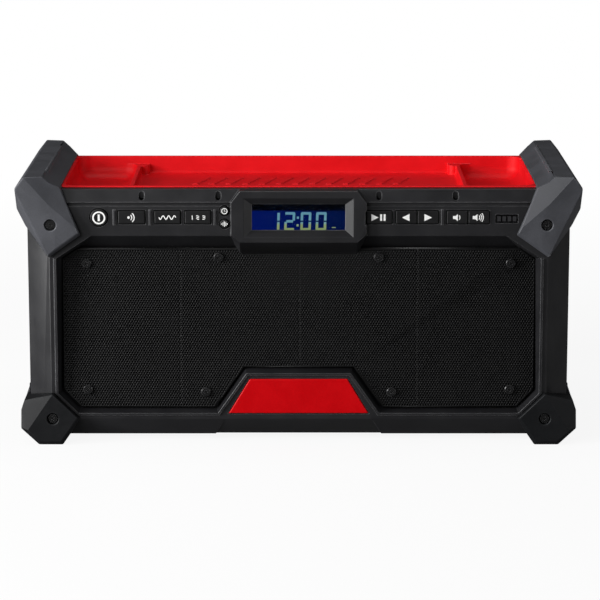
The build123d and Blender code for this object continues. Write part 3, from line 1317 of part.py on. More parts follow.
def tray():
    """The tray: a deep bowl at each end, a shallow middle with anti-slip ribs, and lips on the casing."""
    body = block(-TRAY_HALF, TRAY_HALF, TRAY_FRONT, TRAY_BACK, TRAY_BOTTOM, TRAY_TOP)
    body += block(-TRAY_HALF, TRAY_HALF, TRAY_LIP_FRONT, TRAY_LIP_BACK, TRAY_TOP - TRAY_LIP, TRAY_TOP)
    inner, outer = DIVIDER_X - DIVIDER_THICKNESS / 2, DIVIDER_X + DIVIDER_THICKNESS / 2
    side = TRAY_HALF - TRAY_WALL
    y_low, y_high = TRAY_FRONT + TRAY_WALL, TRAY_BACK - TRAY_WALL
    body -= compartment(-inner, inner, MIDDLE_FLOOR, MIDDLE_CORNER, TRAY_WALL)
    body -= both_sides(compartment(outer, side, TRAY_FLOOR, POCKET_CORNER, POCKET_ROUND))
    body -= block(-inner, inner, y_low, y_high, TRAY_BOTTOM - OVER, MIDDLE_FLOOR - TRAY_FLOOR_THICKNESS)
    lowered = (inner - MIDDLE_CORNER, outer + POCKET_CORNER)
    body -= both_sides(block(*lowered, y_low, y_high, DIVIDER_TOP, TRAY_TOP + WALL))
    bevel, top = TRAY_SIDE_BEVEL, TRAY_TOP
    rim = [(side - bevel, top), (side, top - bevel), (side + bevel, top), (side, top + bevel)]
    body -= both_sides(prism_xz(rim, y_low + POCKET_CORNER, y_high - POCKET_CORNER))
    for x, y in tray_screw_places():
        body += rod_z(x, y, DIVIDER_LUG, TRAY_BOTTOM, DIVIDER_TOP)
    lug_side, (_, rear_lug) = outer - DIVIDER_LUG * 2, tray_screw_places()[1]
    body += both_sides(block(lug_side, inner, rear_lug, y_high, TRAY_BOTTOM, DIVIDER_TOP))
    body += treads()
    for x, y in tray_screw_places():
        body -= rod_z(x, y, TRAY_SCREW_R + THREAD_FIT, TRAY_BOTTOM, TRAY_BOTTOM + TRAY_SCREW_LENGTH + SEAT)
    return one(body)


def tray_envelope(grow):
    """The space that the tray takes up, lips and all, grown outwards."""
    half = TRAY_HALF + grow
    return block(-half, half, TRAY_LIP_FRONT - grow, TRAY_LIP_BACK + grow, TRAY_BOTTOM, TRAY_TOP + grow)


def compartment(x_low, x_high, floor, corner, floor_round):
    """One compartment's space, with its upright corners and its floor's edges rounded."""
    space = block(x_low, x_high, TRAY_FRONT + TRAY_WALL, TRAY_BACK - TRAY_WALL, floor, TRAY_TOP + WALL)
    space = fillet(space.edges().filter_by(Axis.Z), corner)
    return fillet(space.faces().sort_by(Axis.Z)[0].edges(), floor_round)


def treads():
    """Slanted ribs in a row on the middle compartment's floor."""
    ribs = []
    for i in range(TREAD_COUNT):
        x = (i - (TREAD_COUNT - 1) / 2) * TREAD_PITCH
        low, high = TREAD_Y - TREAD_LENGTH / 2, TREAD_Y + TREAD_LENGTH / 2
        lean = TREAD_SLANT / 2
        foot, head = x - lean, x + lean
        corners = [(foot, low), (foot + TREAD_WIDTH, low), (head + TREAD_WIDTH, high), (head, high)]
        ribs.append(prism_xy(corners, MIDDLE_FLOOR - SEAT, MIDDLE_FLOOR + TREAD_RISE))
    return sum_of(ribs)


def tray_screws():
    """Screws up through the deck into the tray's lugs."""
    screws = []
    head_top = DECK_TOP - WALL
    for x, y in tray_screw_places():
        head = rod_z(x, y, TRAY_SCREW_HEAD_R, head_top - TRAY_SCREW_HEAD, head_top)
        tip = TRAY_BOTTOM + TRAY_SCREW_LENGTH
        screws.append(one(head + rod_z(x, y, TRAY_SCREW_R, head_top, tip)))
    return screws


# ---------------------------------------------------------------- loudspeakers
def woofer_screw_places(side):
    """Four places around a woofer's flange."""
    return [
        (side * WOOFER_X + WOOFER_SCREW_CIRCLE * cos(pi / 4 + i * pi / 2),
         WOOFER_Z + WOOFER_SCREW_CIRCLE * sin(pi / 4 + i * pi / 2))
        for i in range(4)
    ]


def woofer_basket(side):
    """The pressed basket: flange, cone-shaped wall and back plate."""
    lip = WOOFER_R - WOOFER_FLANGE_LIP
    flange, depth, wall = WOOFER_FLANGE, BASKET_DEPTH, BASKET_WALL
    profile = [
        (lip, 0), (WOOFER_FLANGE_R, 0), (WOOFER_FLANGE_R, flange), (WOOFER_R + wall, flange),
        (BASKET_BACK_R, depth - wall), (BASKET_BACK_R, depth), (BASKET_BORE_R, depth),
        (BASKET_BORE_R, depth - wall), (BASKET_BACK_R - wall, depth - wall), (lip, flange),
    ]
    basket = turned_y(profile, side * WOOFER_X, WOOFER_Z, BAFFLE_BACK)
    for x, z in woofer_screw_places(side):
        basket -= rod_y(x, z, WOOFER_SCREW_R + FIT, BAFFLE_BACK, BAFFLE_BACK + flange)
    return one(basket)


def woofer_surround(side):
    """The rubber roll between cone and basket."""
    outer, inner = WOOFER_R, WOOFER_R - SURROUND_WIDTH
    quarter = SURROUND_WIDTH / 4
    profile = [(inner, 0), (inner + quarter, -SURROUND_RISE), (outer - quarter, -SURROUND_RISE), (outer, 0)]
    return turned_y(profile, side * WOOFER_X, WOOFER_Z, BAFFLE_BACK)


def woofer_cone(side):
    """The cone with its dust cap."""
    rim = WOOFER_R - SURROUND_WIDTH - SEAT
    profile = [
        (0, CAP_DEPTH), (CONE_NECK_R, CONE_DEPTH), (rim, SEAT), (rim, SEAT + CONE_SKIN),
        (CONE_NECK_R, CONE_DEPTH + CONE_SKIN), (0, CAP_DEPTH + CONE_SKIN),
    ]
    return turned_y(profile, side * WOOFER_X, WOOFER_Z, BAFFLE_BACK)


def voice_coil(side):
    """The coil's tube, from the cone's neck to the magnet."""
    start = BAFFLE_BACK + CONE_DEPTH + CONE_SKIN + SEAT
    return ring_y(side * WOOFER_X, WOOFER_Z, COIL_R, COIL_R - COIL_SKIN, start, BAFFLE_BACK + BASKET_DEPTH)


def woofer_magnet(side):
    start = BAFFLE_BACK + BASKET_DEPTH
    magnet = rod_y(side * WOOFER_X, WOOFER_Z, MAGNET_R, start, start + MAGNET_LENGTH)
    return chamfer(magnet.edges().filter_by(GeomType.CIRCLE), CONE_SKIN)


def woofer_screws():
    screws = []
    seat = BAFFLE_BACK + WOOFER_FLANGE
    for side in (1, -1):
        for x, z in woofer_screw_places(side):
            shank = rod_y(x, z, WOOFER_SCREW_R, BAFFLE_BACK - WOOFER_SCREW_REACH, seat)
            screws.append(one(shank + rod_y(x, z, WOOFER_SCREW_HEAD_R, seat, seat + WOOFER_SCREW_HEAD)))
    return screws


def tweeter(side):
    """The small high-note driver with a shallow dome."""
    profile = [
        (0, -TWEETER_DOME), (TWEETER_R / 2, -TWEETER_DOME * 2 / 3), (TWEETER_R - RING_WIDTH / 2, 0),
        (TWEETER_R, 0), (TWEETER_R, TWEETER_LENGTH), (0, TWEETER_LENGTH),
    ]
    return turned_y(profile, side * TWEETER_X, TWEETER_Z, BAFFLE_FRONT)


def tweeter_ring(side):
    """The bright ring around the small driver."""
    inner, outer = RING_R - RING_WIDTH, RING_R
    third = RING_WIDTH / 3
    profile = [(inner, 0), (inner + third, -RING_RISE), (outer - third, -RING_RISE), (outer, 0)]
    return turned_y(profile, side * TWEETER_X, TWEETER_Z, BAFFLE_FRONT)


# ---------------------------------------------------------------- battery
def battery_pack():
    """The slide-in pack: block, T-shaped tongue, blade slots and pockets for its two release buttons."""
    x_low, x_high = PACK_START, PACK_START + PACK_LENGTH
    half = PACK_HEIGHT / 2
    body = block(x_low, x_high, PACK_FRONT, PACK_BACK, BAY_Z - half, BAY_Z + half)
    body = fillet(body.edges().filter_by(Axis.Y), PACK_CORNER)
    body = chamfer(body.faces().sort_by(Axis.Y)[-1].edges(), PACK_EDGE)
    neck = RAIL_GAP_HALF - RAIL_REST
    flange = RAIL_GAP_HALF + RAIL_LIP - RAIL_REST
    flange_top = RAIL_TOP - RAIL_LIP - RAIL_REST
    body += block(x_low, x_high, BAY_FLOOR + RAIL_REST, PACK_FRONT, BAY_Z - neck, BAY_Z + neck)
    body += block(x_low, x_high, BAY_FLOOR + RAIL_REST, flange_top, BAY_Z - flange, BAY_Z + flange)
    for z in blade_heights():
        room = BLADE_SLOT
        body -= block(
            x_low, x_low - TERMINAL_GAP + BLADE_REACH + room,
            BLADE_Y - BLADE_WIDTH / 2 - room, BLADE_Y + BLADE_WIDTH / 2 + room,
            z - BLADE / 2 - room, z + BLADE / 2 + room,
        )
    for side in (1, -1):
        body -= pack_button_block(side, FIT, BAY_Z + side * (half - PACK_BUTTON_DEPTH))
    return one(body)


def pack_button_block(side, grow, base_z):
    """A release button's block, from a base height out past the pack's face."""
    face_z = BAY_Z + side * (PACK_HEIGHT / 2 + PACK_BUTTON_PROUD)
    middle_y = (PACK_FRONT + PACK_BACK) / 2
    half_l, half_w = PACK_BUTTON_LENGTH / 2 + grow, PACK_BUTTON_WIDTH / 2 + grow
    low, high = sorted((base_z, face_z + side * grow))
    x_low, x_high = PACK_BUTTON_X - half_l, PACK_BUTTON_X + half_l
    return block(x_low, x_high, middle_y - half_w, middle_y + half_w, low, high)


def pack_button(side):
    """A release button that travels into the pack."""
    base = BAY_Z + side * (PACK_HEIGHT / 2 - PACK_BUTTON_DEPTH + PACK_BUTTON_TRAVEL + FIT)
    button = pack_button_block(side, 0, base)
    outer = button.faces().sort_by(Axis.Z)[-1 if side > 0 else 0]
    return chamfer(outer.edges(), PACK_BUTTON_PROUD / 2)


def blade_heights():
    return [BAY_Z + (i - (BLADE_COUNT - 1) / 2) * BLADE_PITCH for i in range(BLADE_COUNT)]


def terminal_block():
    """The contact carrier at the bay's closed end."""
    x_high = PACK_START - TERMINAL_GAP
    half = BLADE_PITCH * BLADE_COUNT / 2 + RAIL_THICKNESS
    body = block(-BAY_HALF_WIDTH, x_high, BAY_FLOOR, RAIL_TOP, BAY_Z - half, BAY_Z + half)
    for blade in terminal_blades():
        body -= blade
    return one(body)


def terminal_blades():
    x_high = PACK_START - TERMINAL_GAP
    x_low = x_high - BLADE_ROOT
    half = BLADE_WIDTH / 2
    return [
        block(x_low, x_high + BLADE_REACH, BLADE_Y - half, BLADE_Y + half, z - BLADE / 2, z + BLADE / 2)
        for z in blade_heights()
    ]


# ---------------------------------------------------------------- antenna and sockets
def antenna():
    """The rod with its flat knuckle."""
    low = ANTENNA_Y - KNUCKLE_THICKNESS / 2
    high = ANTENNA_Y + KNUCKLE_THICKNESS / 2
    knuckle = rod_y(ANTENNA_X, ANTENNA_Z, KNUCKLE_R, low, high)
    knuckle = chamfer(knuckle.edges().filter_by(GeomType.CIRCLE), CONE_SKIN)
    rod = Pos(ANTENNA_X + ANTENNA_LENGTH / 2, ANTENNA_Y, ANTENNA_Z) * Rot(0, 90, 0) * Cone(
        ANTENNA_R, ANTENNA_TIP_R, ANTENNA_LENGTH
    )
    tip = Pos(ANTENNA_X + ANTENNA_LENGTH, ANTENNA_Y, ANTENNA_Z) * Sphere(ANTENNA_TIP_R)
    body = knuckle + rod + tip
    body -= rod_y(ANTENNA_X, ANTENNA_Z, ANTENNA_PIN_R + PIN_RUN, CASE_BACK, high)
    body -= rod_y(ANTENNA_X, ANTENNA_Z, PIN_HEAD_R + PIN_RUN, high - PIN_HEAD - FIT, high)
    return one(body)


def antenna_pin():
    high = ANTENNA_Y + KNUCKLE_THICKNESS / 2
    head_low = high - PIN_HEAD - SEAT
    pin = rod_y(ANTENNA_X, ANTENNA_Z, ANTENNA_PIN_R, CASE_BACK - PIN_SEAT, head_low)
    return one(pin + rod_y(ANTENNA_X, ANTENNA_Z, PIN_HEAD_R, head_low, high - SEAT))


def socket_flap():
    """The rubber flap over the sockets, hung from a barrel at its top."""
    half = FLAP_WIDTH / 2
    barrel = rod_x(FLAP_AXIS_Y, FLAP_AXIS_Z, FLAP_BARREL_R, FLAP_X - half, FLAP_X + half)
    bottom = FLAP_Z - FLAP_HEIGHT / 2
    plate = block(FLAP_X - half, FLAP_X + half, CASE_BACK - FLAP_THICKNESS, CASE_BACK, bottom, FLAP_AXIS_Z)
    lip = block(
        FLAP_X - half / 3, FLAP_X + half / 3, CASE_BACK - SEAT, CASE_BACK + FLAP_LIP / 2,
        bottom + FLAP_LIP, bottom + FLAP_LIP * 2,
    )
    pin = rod_x(FLAP_AXIS_Y, FLAP_AXIS_Z, FLAP_PIN_R + PIN_RUN, FLAP_X - half, FLAP_X + half)
    return one(barrel + plate + lip - pin)


def flap_pin():
    half = FLAP_WIDTH / 2 + FLAP_PIN_SEAT - SEAT
    return rod_x(FLAP_AXIS_Y, FLAP_AXIS_Z, FLAP_PIN_R, FLAP_X - half, FLAP_X + half)


def usb_block(grow, y_high):
    half_w, half_h = USB_WIDTH / 2 + grow, USB_HEIGHT / 2 + grow
    return block(
        USB_X - half_w, USB_X + half_w, WELL_FLOOR - USB_DEPTH, y_high, FLAP_Z - half_h, FLAP_Z + half_h
    )


def usb_socket():
    """A charging socket: tinned shell with its contact tongue."""
    shell_block = usb_block(0, WELL_FLOOR)
    hollow = usb_block(-USB_SHELL, WELL_FLOOR) - block(
        USB_X - USB_WIDTH, USB_X + USB_WIDTH, WELL_FLOOR - OVER, WELL_FLOOR - USB_DEPTH + USB_BACK,
        FLAP_Z - USB_HEIGHT, FLAP_Z + USB_HEIGHT,
    )
    half_w = USB_WIDTH / 2 - USB_SHELL * 3
    tongue = block(
        USB_X - half_w, USB_X + half_w, WELL_FLOOR - USB_DEPTH, WELL_FLOOR - USB_DEPTH + USB_TONGUE_LENGTH,
        FLAP_Z, FLAP_Z + USB_TONGUE,
    )
    return one(shell_block - hollow + tongue)


def aux_socket():
    """The round audio socket."""
    body = rod_y(AUX_X, FLAP_Z, AUX_BODY / 2, WELL_FLOOR - AUX_DEPTH, WELL_FLOOR)
    return one(body - rod_y(AUX_X, FLAP_Z, AUX_R, WELL_FLOOR - AUX_DEPTH + USB_BACK, WELL_FLOOR))


# ---------------------------------------------------------------- main board
def board_post_places():
    half = MAIN_BOARD_HALF - POST_INSET
    return [
        (side * half, z)
        for side in (1, -1)
        for z in (MAIN_BOARD_BOTTOM + POST_INSET, MAIN_BOARD_TOP - POST_INSET)
    ]


def main_board():
    back = BAY_FLOOR - BAY_WALL - POST_LENGTH
    board = block(-MAIN_BOARD_HALF, MAIN_BOARD_HALF, back - BOARD, back, MAIN_BOARD_BOTTOM, MAIN_BOARD_TOP)
    for x, z in board_post_places():
        board -= rod_y(x, z, BOARD_SCREW_R + FIT, back - BOARD, back)
    return one(board)


def board_screws():
    screws = []
    back = BAY_FLOOR - BAY_WALL - POST_LENGTH
    for x, z in board_post_places():
        seat = back - BOARD
        head = rod_y(x, z, BOARD_SCREW_HEAD_R, seat - BOARD_SCREW_HEAD, seat)
        screws.append(one(head + rod_y(x, z, BOARD_SCREW_R, seat, back + BOARD_SCREW_REACH)))
    return screws


def heat_sink():
    """The finned cooler of the audio amplifier."""
    board_front = BAY_FLOOR - BAY_WALL - POST_LENGTH - BOARD
    half = HEAT_SINK_WIDTH / 2
    z_low = BAY_Z - HEAT_SINK_HEIGHT / 2
    z_high = BAY_Z + HEAT_SINK_HEIGHT / 2
    sink = block(-half, half, board_front - HEAT_SINK_BASE, board_front, z_low, z_high)
    pitch = (HEAT_SINK_WIDTH - FIN) / (FIN_COUNT - 1)
    for i in range(FIN_COUNT):
        x = -half + i * pitch
        tip = board_front - HEAT_SINK_DEPTH
        sink += block(x, x + FIN, tip, board_front - HEAT_SINK_BASE, z_low, z_high)
    return one(sink)


# ---------------------------------------------------------------- all nodes
def build():
    os.makedirs(PARTS, exist_ok=True)
    write("front_housing", front_housing())
    write("main_housing", main_housing())
    write("back_cover", back_cover())
    write("case_gaskets", *gaskets())
    write("case_screws", *case_screws())
    grip, skid, bar = grip_guard(), skid_guard(), grip_bar()
    write("grip_guard_right", grip)
    write("grip_guard_left", flip(grip))
    write("grip_bars", bar, flip(bar))
    write("skid_guard_right", skid)
    write("skid_guard_left", flip(skid))
    write("guard_screws", *guard_screws())
    write("tray", tray())
    write("tray_screws", *tray_screws())
    write("speaker_grille", speaker_grille())
    write("grille_screws", *grille_screws())
    write("badge", badge())
    write("display_lens", display_lens())
    write("display_panel", display_panel())
    write("gauge_lens", gauge_lens())
    for node, place in key_places().items():
        write(node, key(place))
    write("key_switches", *key_switches())
    write("control_board", control_board())
    for node, piece in (
        ("woofer_baskets", woofer_basket), ("woofer_surrounds", woofer_surround),
        ("woofer_cones", woofer_cone), ("voice_coils", voice_coil), ("woofer_magnets", woofer_magnet),
        ("tweeters", tweeter), ("tweeter_rings", tweeter_ring),
    ):
        write(node, piece(1), piece(-1))
    write("woofer_screws", *woofer_screws())
    write("battery_pack", battery_pack())
    write("pack_button_upper", pack_button(1))
    write("pack_button_lower", pack_button(-1))
    write("terminal_block", terminal_block())
    write("terminal_blades", *terminal_blades())
    write("antenna", antenna())
    write("antenna_pin", antenna_pin())
    write("socket_flap", socket_flap())
    write("flap_pin", flap_pin())
    write("usb_socket", usb_socket())
    write("aux_socket", aux_socket())
    write("main_board", main_board())
    write("board_screws", *board_screws())
    write("heat_sink", heat_sink())


build()
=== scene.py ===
"""Looks of a cordless jobsite radio: finishes, rounded mouldings, a pierced grille, printed keys, a display.

Everything is in metres in the radio's own frame: X to its right, Y into the scene, Z up, floor at Z = 0.
"""

import json
from math import cos, pi, radians, sin

import bmesh
import bpy
import numpy as np
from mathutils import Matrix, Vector
from mathutils.geometry import delaunay_2d_cdt


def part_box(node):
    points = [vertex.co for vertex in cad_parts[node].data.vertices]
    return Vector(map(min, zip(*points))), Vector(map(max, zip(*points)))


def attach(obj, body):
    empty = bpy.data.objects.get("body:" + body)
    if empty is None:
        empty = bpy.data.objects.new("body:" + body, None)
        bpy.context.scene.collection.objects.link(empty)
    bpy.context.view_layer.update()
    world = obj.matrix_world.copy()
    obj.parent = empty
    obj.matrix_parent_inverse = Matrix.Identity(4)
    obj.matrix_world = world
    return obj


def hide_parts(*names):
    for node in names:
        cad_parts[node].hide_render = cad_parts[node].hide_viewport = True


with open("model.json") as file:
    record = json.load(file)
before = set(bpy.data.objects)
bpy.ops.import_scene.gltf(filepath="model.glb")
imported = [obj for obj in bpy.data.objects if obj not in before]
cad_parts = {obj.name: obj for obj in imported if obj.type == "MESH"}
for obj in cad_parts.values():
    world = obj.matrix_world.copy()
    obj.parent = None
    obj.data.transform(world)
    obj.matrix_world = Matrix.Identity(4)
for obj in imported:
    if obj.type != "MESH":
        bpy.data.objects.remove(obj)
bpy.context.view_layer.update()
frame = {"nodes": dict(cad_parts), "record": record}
MM = 0.001
NODES = frame["nodes"]
BODY_OF = {node: body for body, nodes in frame["record"]["behaviour"]["bodies"].items() for node in nodes}
SLOT_OF = {row["node"]: row["material_slot"] for row in frame["record"]["subparts"]}

# camera: its distance from the middle of the face, its tilt and its lens
CAMERA_DISTANCE = 1.95
CAMERA_TILT = radians(11.5)
CAMERA_LENS = 163.44
CAMERA_AIM = (0.001, -0.090, 0.10608)

# grille perforation
HOLE_PITCH = 1.9 * MM
HOLE_RADIUS = 0.66 * MM
HOLE_SIDES = 8
GRILLE_MARGIN = 0.25 * MM
GRILLE_THICKNESS = 1.2 * MM
GRILLE_PIECES = 4

# edges of the moulded and stamped pieces
MERGE = 0.003 * MM
FLAT = radians(0.05)
SHARP = radians(28)
SHELLS = ("front_housing", "main_housing", "back_cover")

# printed marks on the keys
INK = 0.05 * MM

# the display's figures
SEGMENT = 1.75 * MM
SEGMENT_GAP = 0.5 * MM
FIGURE_HEIGHT = 13.2 * MM
FIGURE_WIDTH = 7.5 * MM
FIGURE_PITCH = 10.9 * MM
FIGURE_LEAN = 0.04
FIGURE_MIDDLE = 8.4 * MM  # over the display's low edge
FIGURE_INSET = 15.8 * MM  # of the last figure, from the display's right end
PAIR_GAP = 0.6 * MM  # more between the hours and the minutes
LIT_HEIGHT = 16.0 * MM  # the strip above it stays black: painted shade under the window's top edge
TOP_SHADOW_BLUR = 0.2 * MM

# the charge gauge's cells, in millimetres
CELLS_SHOWN = 4
CELL_GAP = 0.9
CELL_TRIM = 0.3
CELL_HEIGHT = 3.6

# stage
FLOOR_REACH = 8.0
FLOOR_GREY = 0.14
FLOOR_PALE = 0.9
GLOW_FROM = 0.3
GLOW_FULL = 1.2
FLOOR_GLOW = 0.9
FLOOR_IN_GLOSS = 0.08
WORLD_LIGHT = 0.05


def shade(red, green, blue):
    """A colour given in display values of 0 to 255, as linear light."""
    parts = [value / 255 for value in (red, green, blue)]
    return tuple(v / 12.92 if v <= 0.04045 else ((v + 0.055) / 1.055) ** 2.4 for v in parts) + (1.0,)


# ---------------------------------------------------------------- shared surface effects
def new_group(name, inputs, outputs):
    """An empty shader node group with named number sockets, and its input and output nodes."""
    group = bpy.data.node_groups.new(name, "ShaderNodeTree")
    for label, value in inputs.items():
        made = group.interface.new_socket(name=label, in_out="INPUT", socket_type="NodeSocketFloat")
        made.default_value = value
    for label in outputs:
        group.interface.new_socket(name=label, in_out="OUTPUT", socket_type="NodeSocketFloat")
    return group, group.nodes.new("NodeGroupInput"), group.nodes.new("NodeGroupOutput")


def noise(tree, place, scale, detail=2.0, roughness=0.5):
    """A Noise Texture node on a place: its value, about 0 to 1."""
    node = tree.nodes.new("ShaderNodeTexNoise")
    node.inputs["Detail"].default_value = detail
    node.inputs["Roughness"].default_value = roughness
    tree.links.new(place, node.inputs["Vector"])
    plug(tree, scale, node.inputs["Scale"])
    return node.outputs["Fac"]


def plug(tree, value, target):
    """Links a socket, or sets a plain number, into a target socket."""
    if isinstance(value, (int, float)):
        target.default_value = value
    else:
        tree.links.new(value, target)


def maths(tree, operation, first, second=0.0, third=0.0, clamp=False):
    """A Math node."""
    node = tree.nodes.new("ShaderNodeMath")
    node.operation = operation
    node.use_clamp = clamp
    for socket, value in zip(node.inputs, (first, second, third)):
        plug(tree, value, socket)
    return node.outputs["Value"]


def ramp(tree, value, low, high, to_low=0.0, to_high=1.0):
    """A smooth Map Range node."""
    node = tree.nodes.new("ShaderNodeMapRange")
    node.interpolation_type = "SMOOTHSTEP"
    labels = ("Value", "From Min", "From Max", "To Min", "To Max")
    for label, number in zip(labels, (value, low, high, to_low, to_high)):
        plug(tree, number, node.inputs[label])
    return node.outputs["Result"]


def moulded_grain():
    """Fine spark-eroded grain over slow mottling: Shade and Height, each about 0 to 1."""
    group, given, out = new_group(
        "moulded_grain", {"Grain Per Metre": 1800.0, "Mottle Per Metre": 45.0}, ("Shade", "Height")
    )
    place = group.nodes.new("ShaderNodeTexCoord").outputs["Object"]
    fine = noise(group, place, given.outputs["Grain Per Metre"], 3.0, 0.6)
    slow = noise(group, place, given.outputs["Mottle Per Metre"], 3.0, 0.55)
    mixed = maths(group, "MULTIPLY_ADD", fine, 0.45, maths(group, "MULTIPLY", slow, 0.55))
    group.links.new(ramp(group, mixed, 0.32, 0.68), out.inputs["Shade"])
    group.links.new(fine, out.inputs["Height"])
    return group


def edge_wear_and_highlight():
    """Where a surface turns over an edge within a radius, broken up by noise: Edge, 0 to 1; it lightens edges
    partly as wear and partly as a painted highlight.
    """
    group, given, out = new_group("edge_wear_and_highlight", {"Radius": 0.8 * MM, "Break Per Metre": 160.0}, ("Edge",))
    bevel = group.nodes.new("ShaderNodeBevel")
    bevel.samples = 4
    group.links.new(given.outputs["Radius"], bevel.inputs["Radius"])
    geometry = group.nodes.new("ShaderNodeNewGeometry")
    dot = group.nodes.new("ShaderNodeVectorMath")
    dot.operation = "DOT_PRODUCT"
    group.links.new(bevel.outputs["Normal"], dot.inputs[0])
    group.links.new(geometry.outputs["Normal"], dot.inputs[1])
    turned = ramp(group, dot.outputs["Value"], 0.985, 0.86)
    place = group.nodes.new("ShaderNodeTexCoord").outputs["Object"]
    broken = ramp(group, noise(group, place, given.outputs["Break Per Metre"], 4.0, 0.65), 0.2, 0.55)
    group.links.new(maths(group, "MULTIPLY", turned, broken), out.inputs["Edge"])
    return group


def handling_dust():
    """Thin dust and rub marks, more on what faces up: Dust, 0 to 1."""
    group, given, out = new_group("handling_dust", {"Per Metre": 70.0, "Amount": 0.5}, ("Dust",))
    place = group.nodes.new("ShaderNodeTexCoord").outputs["Object"]
    patches = ramp(group, noise(group, place, given.outputs["Per Metre"], 5.0, 0.6), 0.45, 0.75)
    specks = ramp(group, noise(group, place, 2600.0, 1.0), 0.62, 0.74)
    facing = group.nodes.new("ShaderNodeSeparateXYZ")
    group.links.new(group.nodes.new("ShaderNodeNewGeometry").outputs["Normal"], facing.inputs[0])
    upward = ramp(group, facing.outputs["Z"], 0.2, 1.0, 0.35, 1.0)
    both = maths(group, "MULTIPLY_ADD", specks, 0.35, maths(group, "MULTIPLY", patches, 0.65))
    spread = maths(group, "MULTIPLY", both, upward)
    group.links.new(maths(group, "MULTIPLY", spread, given.outputs["Amount"], clamp=True), out.inputs["Dust"])
    return group


def painted_gap_shade():
    """Painted shade in narrow gaps and grooves: Deep, 0 on open faces to 1 where walls stand close around."""
    group, given, out = new_group("painted_gap_shade", {"Reach": 4.0 * MM}, ("Deep",))
    around = group.nodes.new("ShaderNodeAmbientOcclusion")
    around.samples = 8
    group.links.new(given.outputs["Reach"], around.inputs["Distance"])
    group.links.new(ramp(group, around.outputs["AO"], 0.75, 0.3), out.inputs["Deep"])
    return group


GRAIN = moulded_grain()
GAP_SHADE = painted_gap_shade()
WEAR_AND_HIGHLIGHT = edge_wear_and_highlight()
DUST = handling_dust()


def place_group(tree, group, **values):
    """A group node with its values set; an underscore in a value's name stands for a space."""
    node = tree.nodes.new("ShaderNodeGroup")
    node.node_tree = group
    for label, value in values.items():
        node.inputs[label.replace("_", " ")].default_value = value
    return node


def mix(tree, share, first, second):
    """Mixes two colours, each a colour or a socket."""
    node = tree.nodes.new("ShaderNodeMix")
    node.data_type = "RGBA"
    plug(tree, share, node.inputs["Factor"])
    for label, value in (("A", first), ("B", second)):
        target = next(s for s in node.inputs if s.name == label and s.type == "RGBA")
        if isinstance(value, tuple):
            target.default_value = value
        else:
            tree.links.new(value, target)
    return next(s for s in node.outputs if s.type == "RGBA")


def empty_material(name):
    """A material with only a Principled BSDF, its tree and that node."""
    material = bpy.data.materials.new(name)
    material.use_nodes = True
    tree = material.node_tree
    return material, tree, tree.nodes["Principled BSDF"]


def finish(name, dark, light, rough, grain=1800.0, mottle=45.0, bump=0.04, edge_wear_highlight_colour=None, edge_wear_highlight_share=0.5, dust=0.25,
           metallic=0.0, specular=0.5, coat=0.0, radius=0.8 * MM, painted_gap_darkness=0.0):
    """A solid surface: two shades mixed by the grain, edges lightened partly by wear and partly by a painted
    highlight, thin dust, painted shade in narrow gaps where asked, and the grain as a bump.

    rough is its lowest and highest roughness, the edge colour the colour that its edges turn to, partly rubbed
    wear and partly a painted highlight, and the gap darkness how dark with painted shade and how dull its
    narrow gaps are, 0 to 1.
    """
    material, tree, shader = empty_material(name)
    grains = place_group(tree, GRAIN, Grain_Per_Metre=grain, Mottle_Per_Metre=mottle)
    dusty = place_group(tree, DUST, Amount=dust)
    colour = mix(tree, grains.outputs["Shade"], dark, light)
    roughness = ramp(tree, grains.outputs["Shade"], 0.0, 1.0, *rough)
    # edges lightened: partly rubbed wear, partly a painted highlight where rounded edges would catch light
    if edge_wear_highlight_colour is not None:
        edges = place_group(tree, WEAR_AND_HIGHLIGHT, Radius=radius)
        share = maths(tree, "MULTIPLY", edges.outputs["Edge"], edge_wear_highlight_share)
        colour = mix(tree, share, colour, edge_wear_highlight_colour)
    colour = mix(tree, maths(tree, "MULTIPLY", dusty.outputs["Dust"], 0.35), colour, shade(150, 148, 142))
    # painted shade: narrow gaps and grooves darkened towards near black, and dulled
    if painted_gap_darkness:
        deep = maths(tree, "MULTIPLY", place_group(tree, GAP_SHADE).outputs["Deep"], painted_gap_darkness)
        colour = mix(tree, deep, colour, shade(2, 2, 2))
        roughness = maths(tree, "MAXIMUM", roughness, deep)
    tree.links.new(colour, shader.inputs["Base Color"])
    tree.links.new(maths(tree, "MULTIPLY_ADD", dusty.outputs["Dust"], 0.3, roughness, clamp=True),
                   shader.inputs["Roughness"])
    raised = tree.nodes.new("ShaderNodeBump")
    raised.inputs["Strength"].default_value = 1.0
    raised.inputs["Distance"].default_value = bump * MM
    tree.links.new(grains.outputs["Height"], raised.inputs["Height"])
    tree.links.new(raised.outputs["Normal"], shader.inputs["Normal"])
    shader.inputs["Metallic"].default_value = metallic
    shader.inputs["Specular IOR Level"].default_value = specular
    shader.inputs["Coat Weight"].default_value = coat
    shader.inputs["Coat Roughness"].default_value = 0.12
    return material


# ---------------------------------------------------------------- the radio's finishes
# Case moulding: its edges are lightened strongly as a painted highlight along beads and ridges, and its
# grooves and slots are darkened as painted shade.
def case_plastic():
    return finish("case_plastic", shade(28, 28, 30), shade(34, 34, 36), (0.34, 0.46), grain=2400.0,
                  bump=0.02, edge_wear_highlight_colour=shade(132, 132, 134), edge_wear_highlight_share=0.7, dust=0.04, specular=0.35, painted_gap_darkness=0.95)


# The grips' rubber: the lighter, lit copy of the guard rubber, its edges lightened as a painted highlight; the
# skid guards take a darker copy.
def guard_rubber():
    return finish("guard_rubber", shade(60, 61, 65), shade(74, 75, 80), (0.4, 0.52), grain=1500.0,
                  bump=0.05, edge_wear_highlight_colour=shade(132, 133, 138), edge_wear_highlight_share=0.65, dust=0.05, specular=0.3, radius=1.3 * MM)


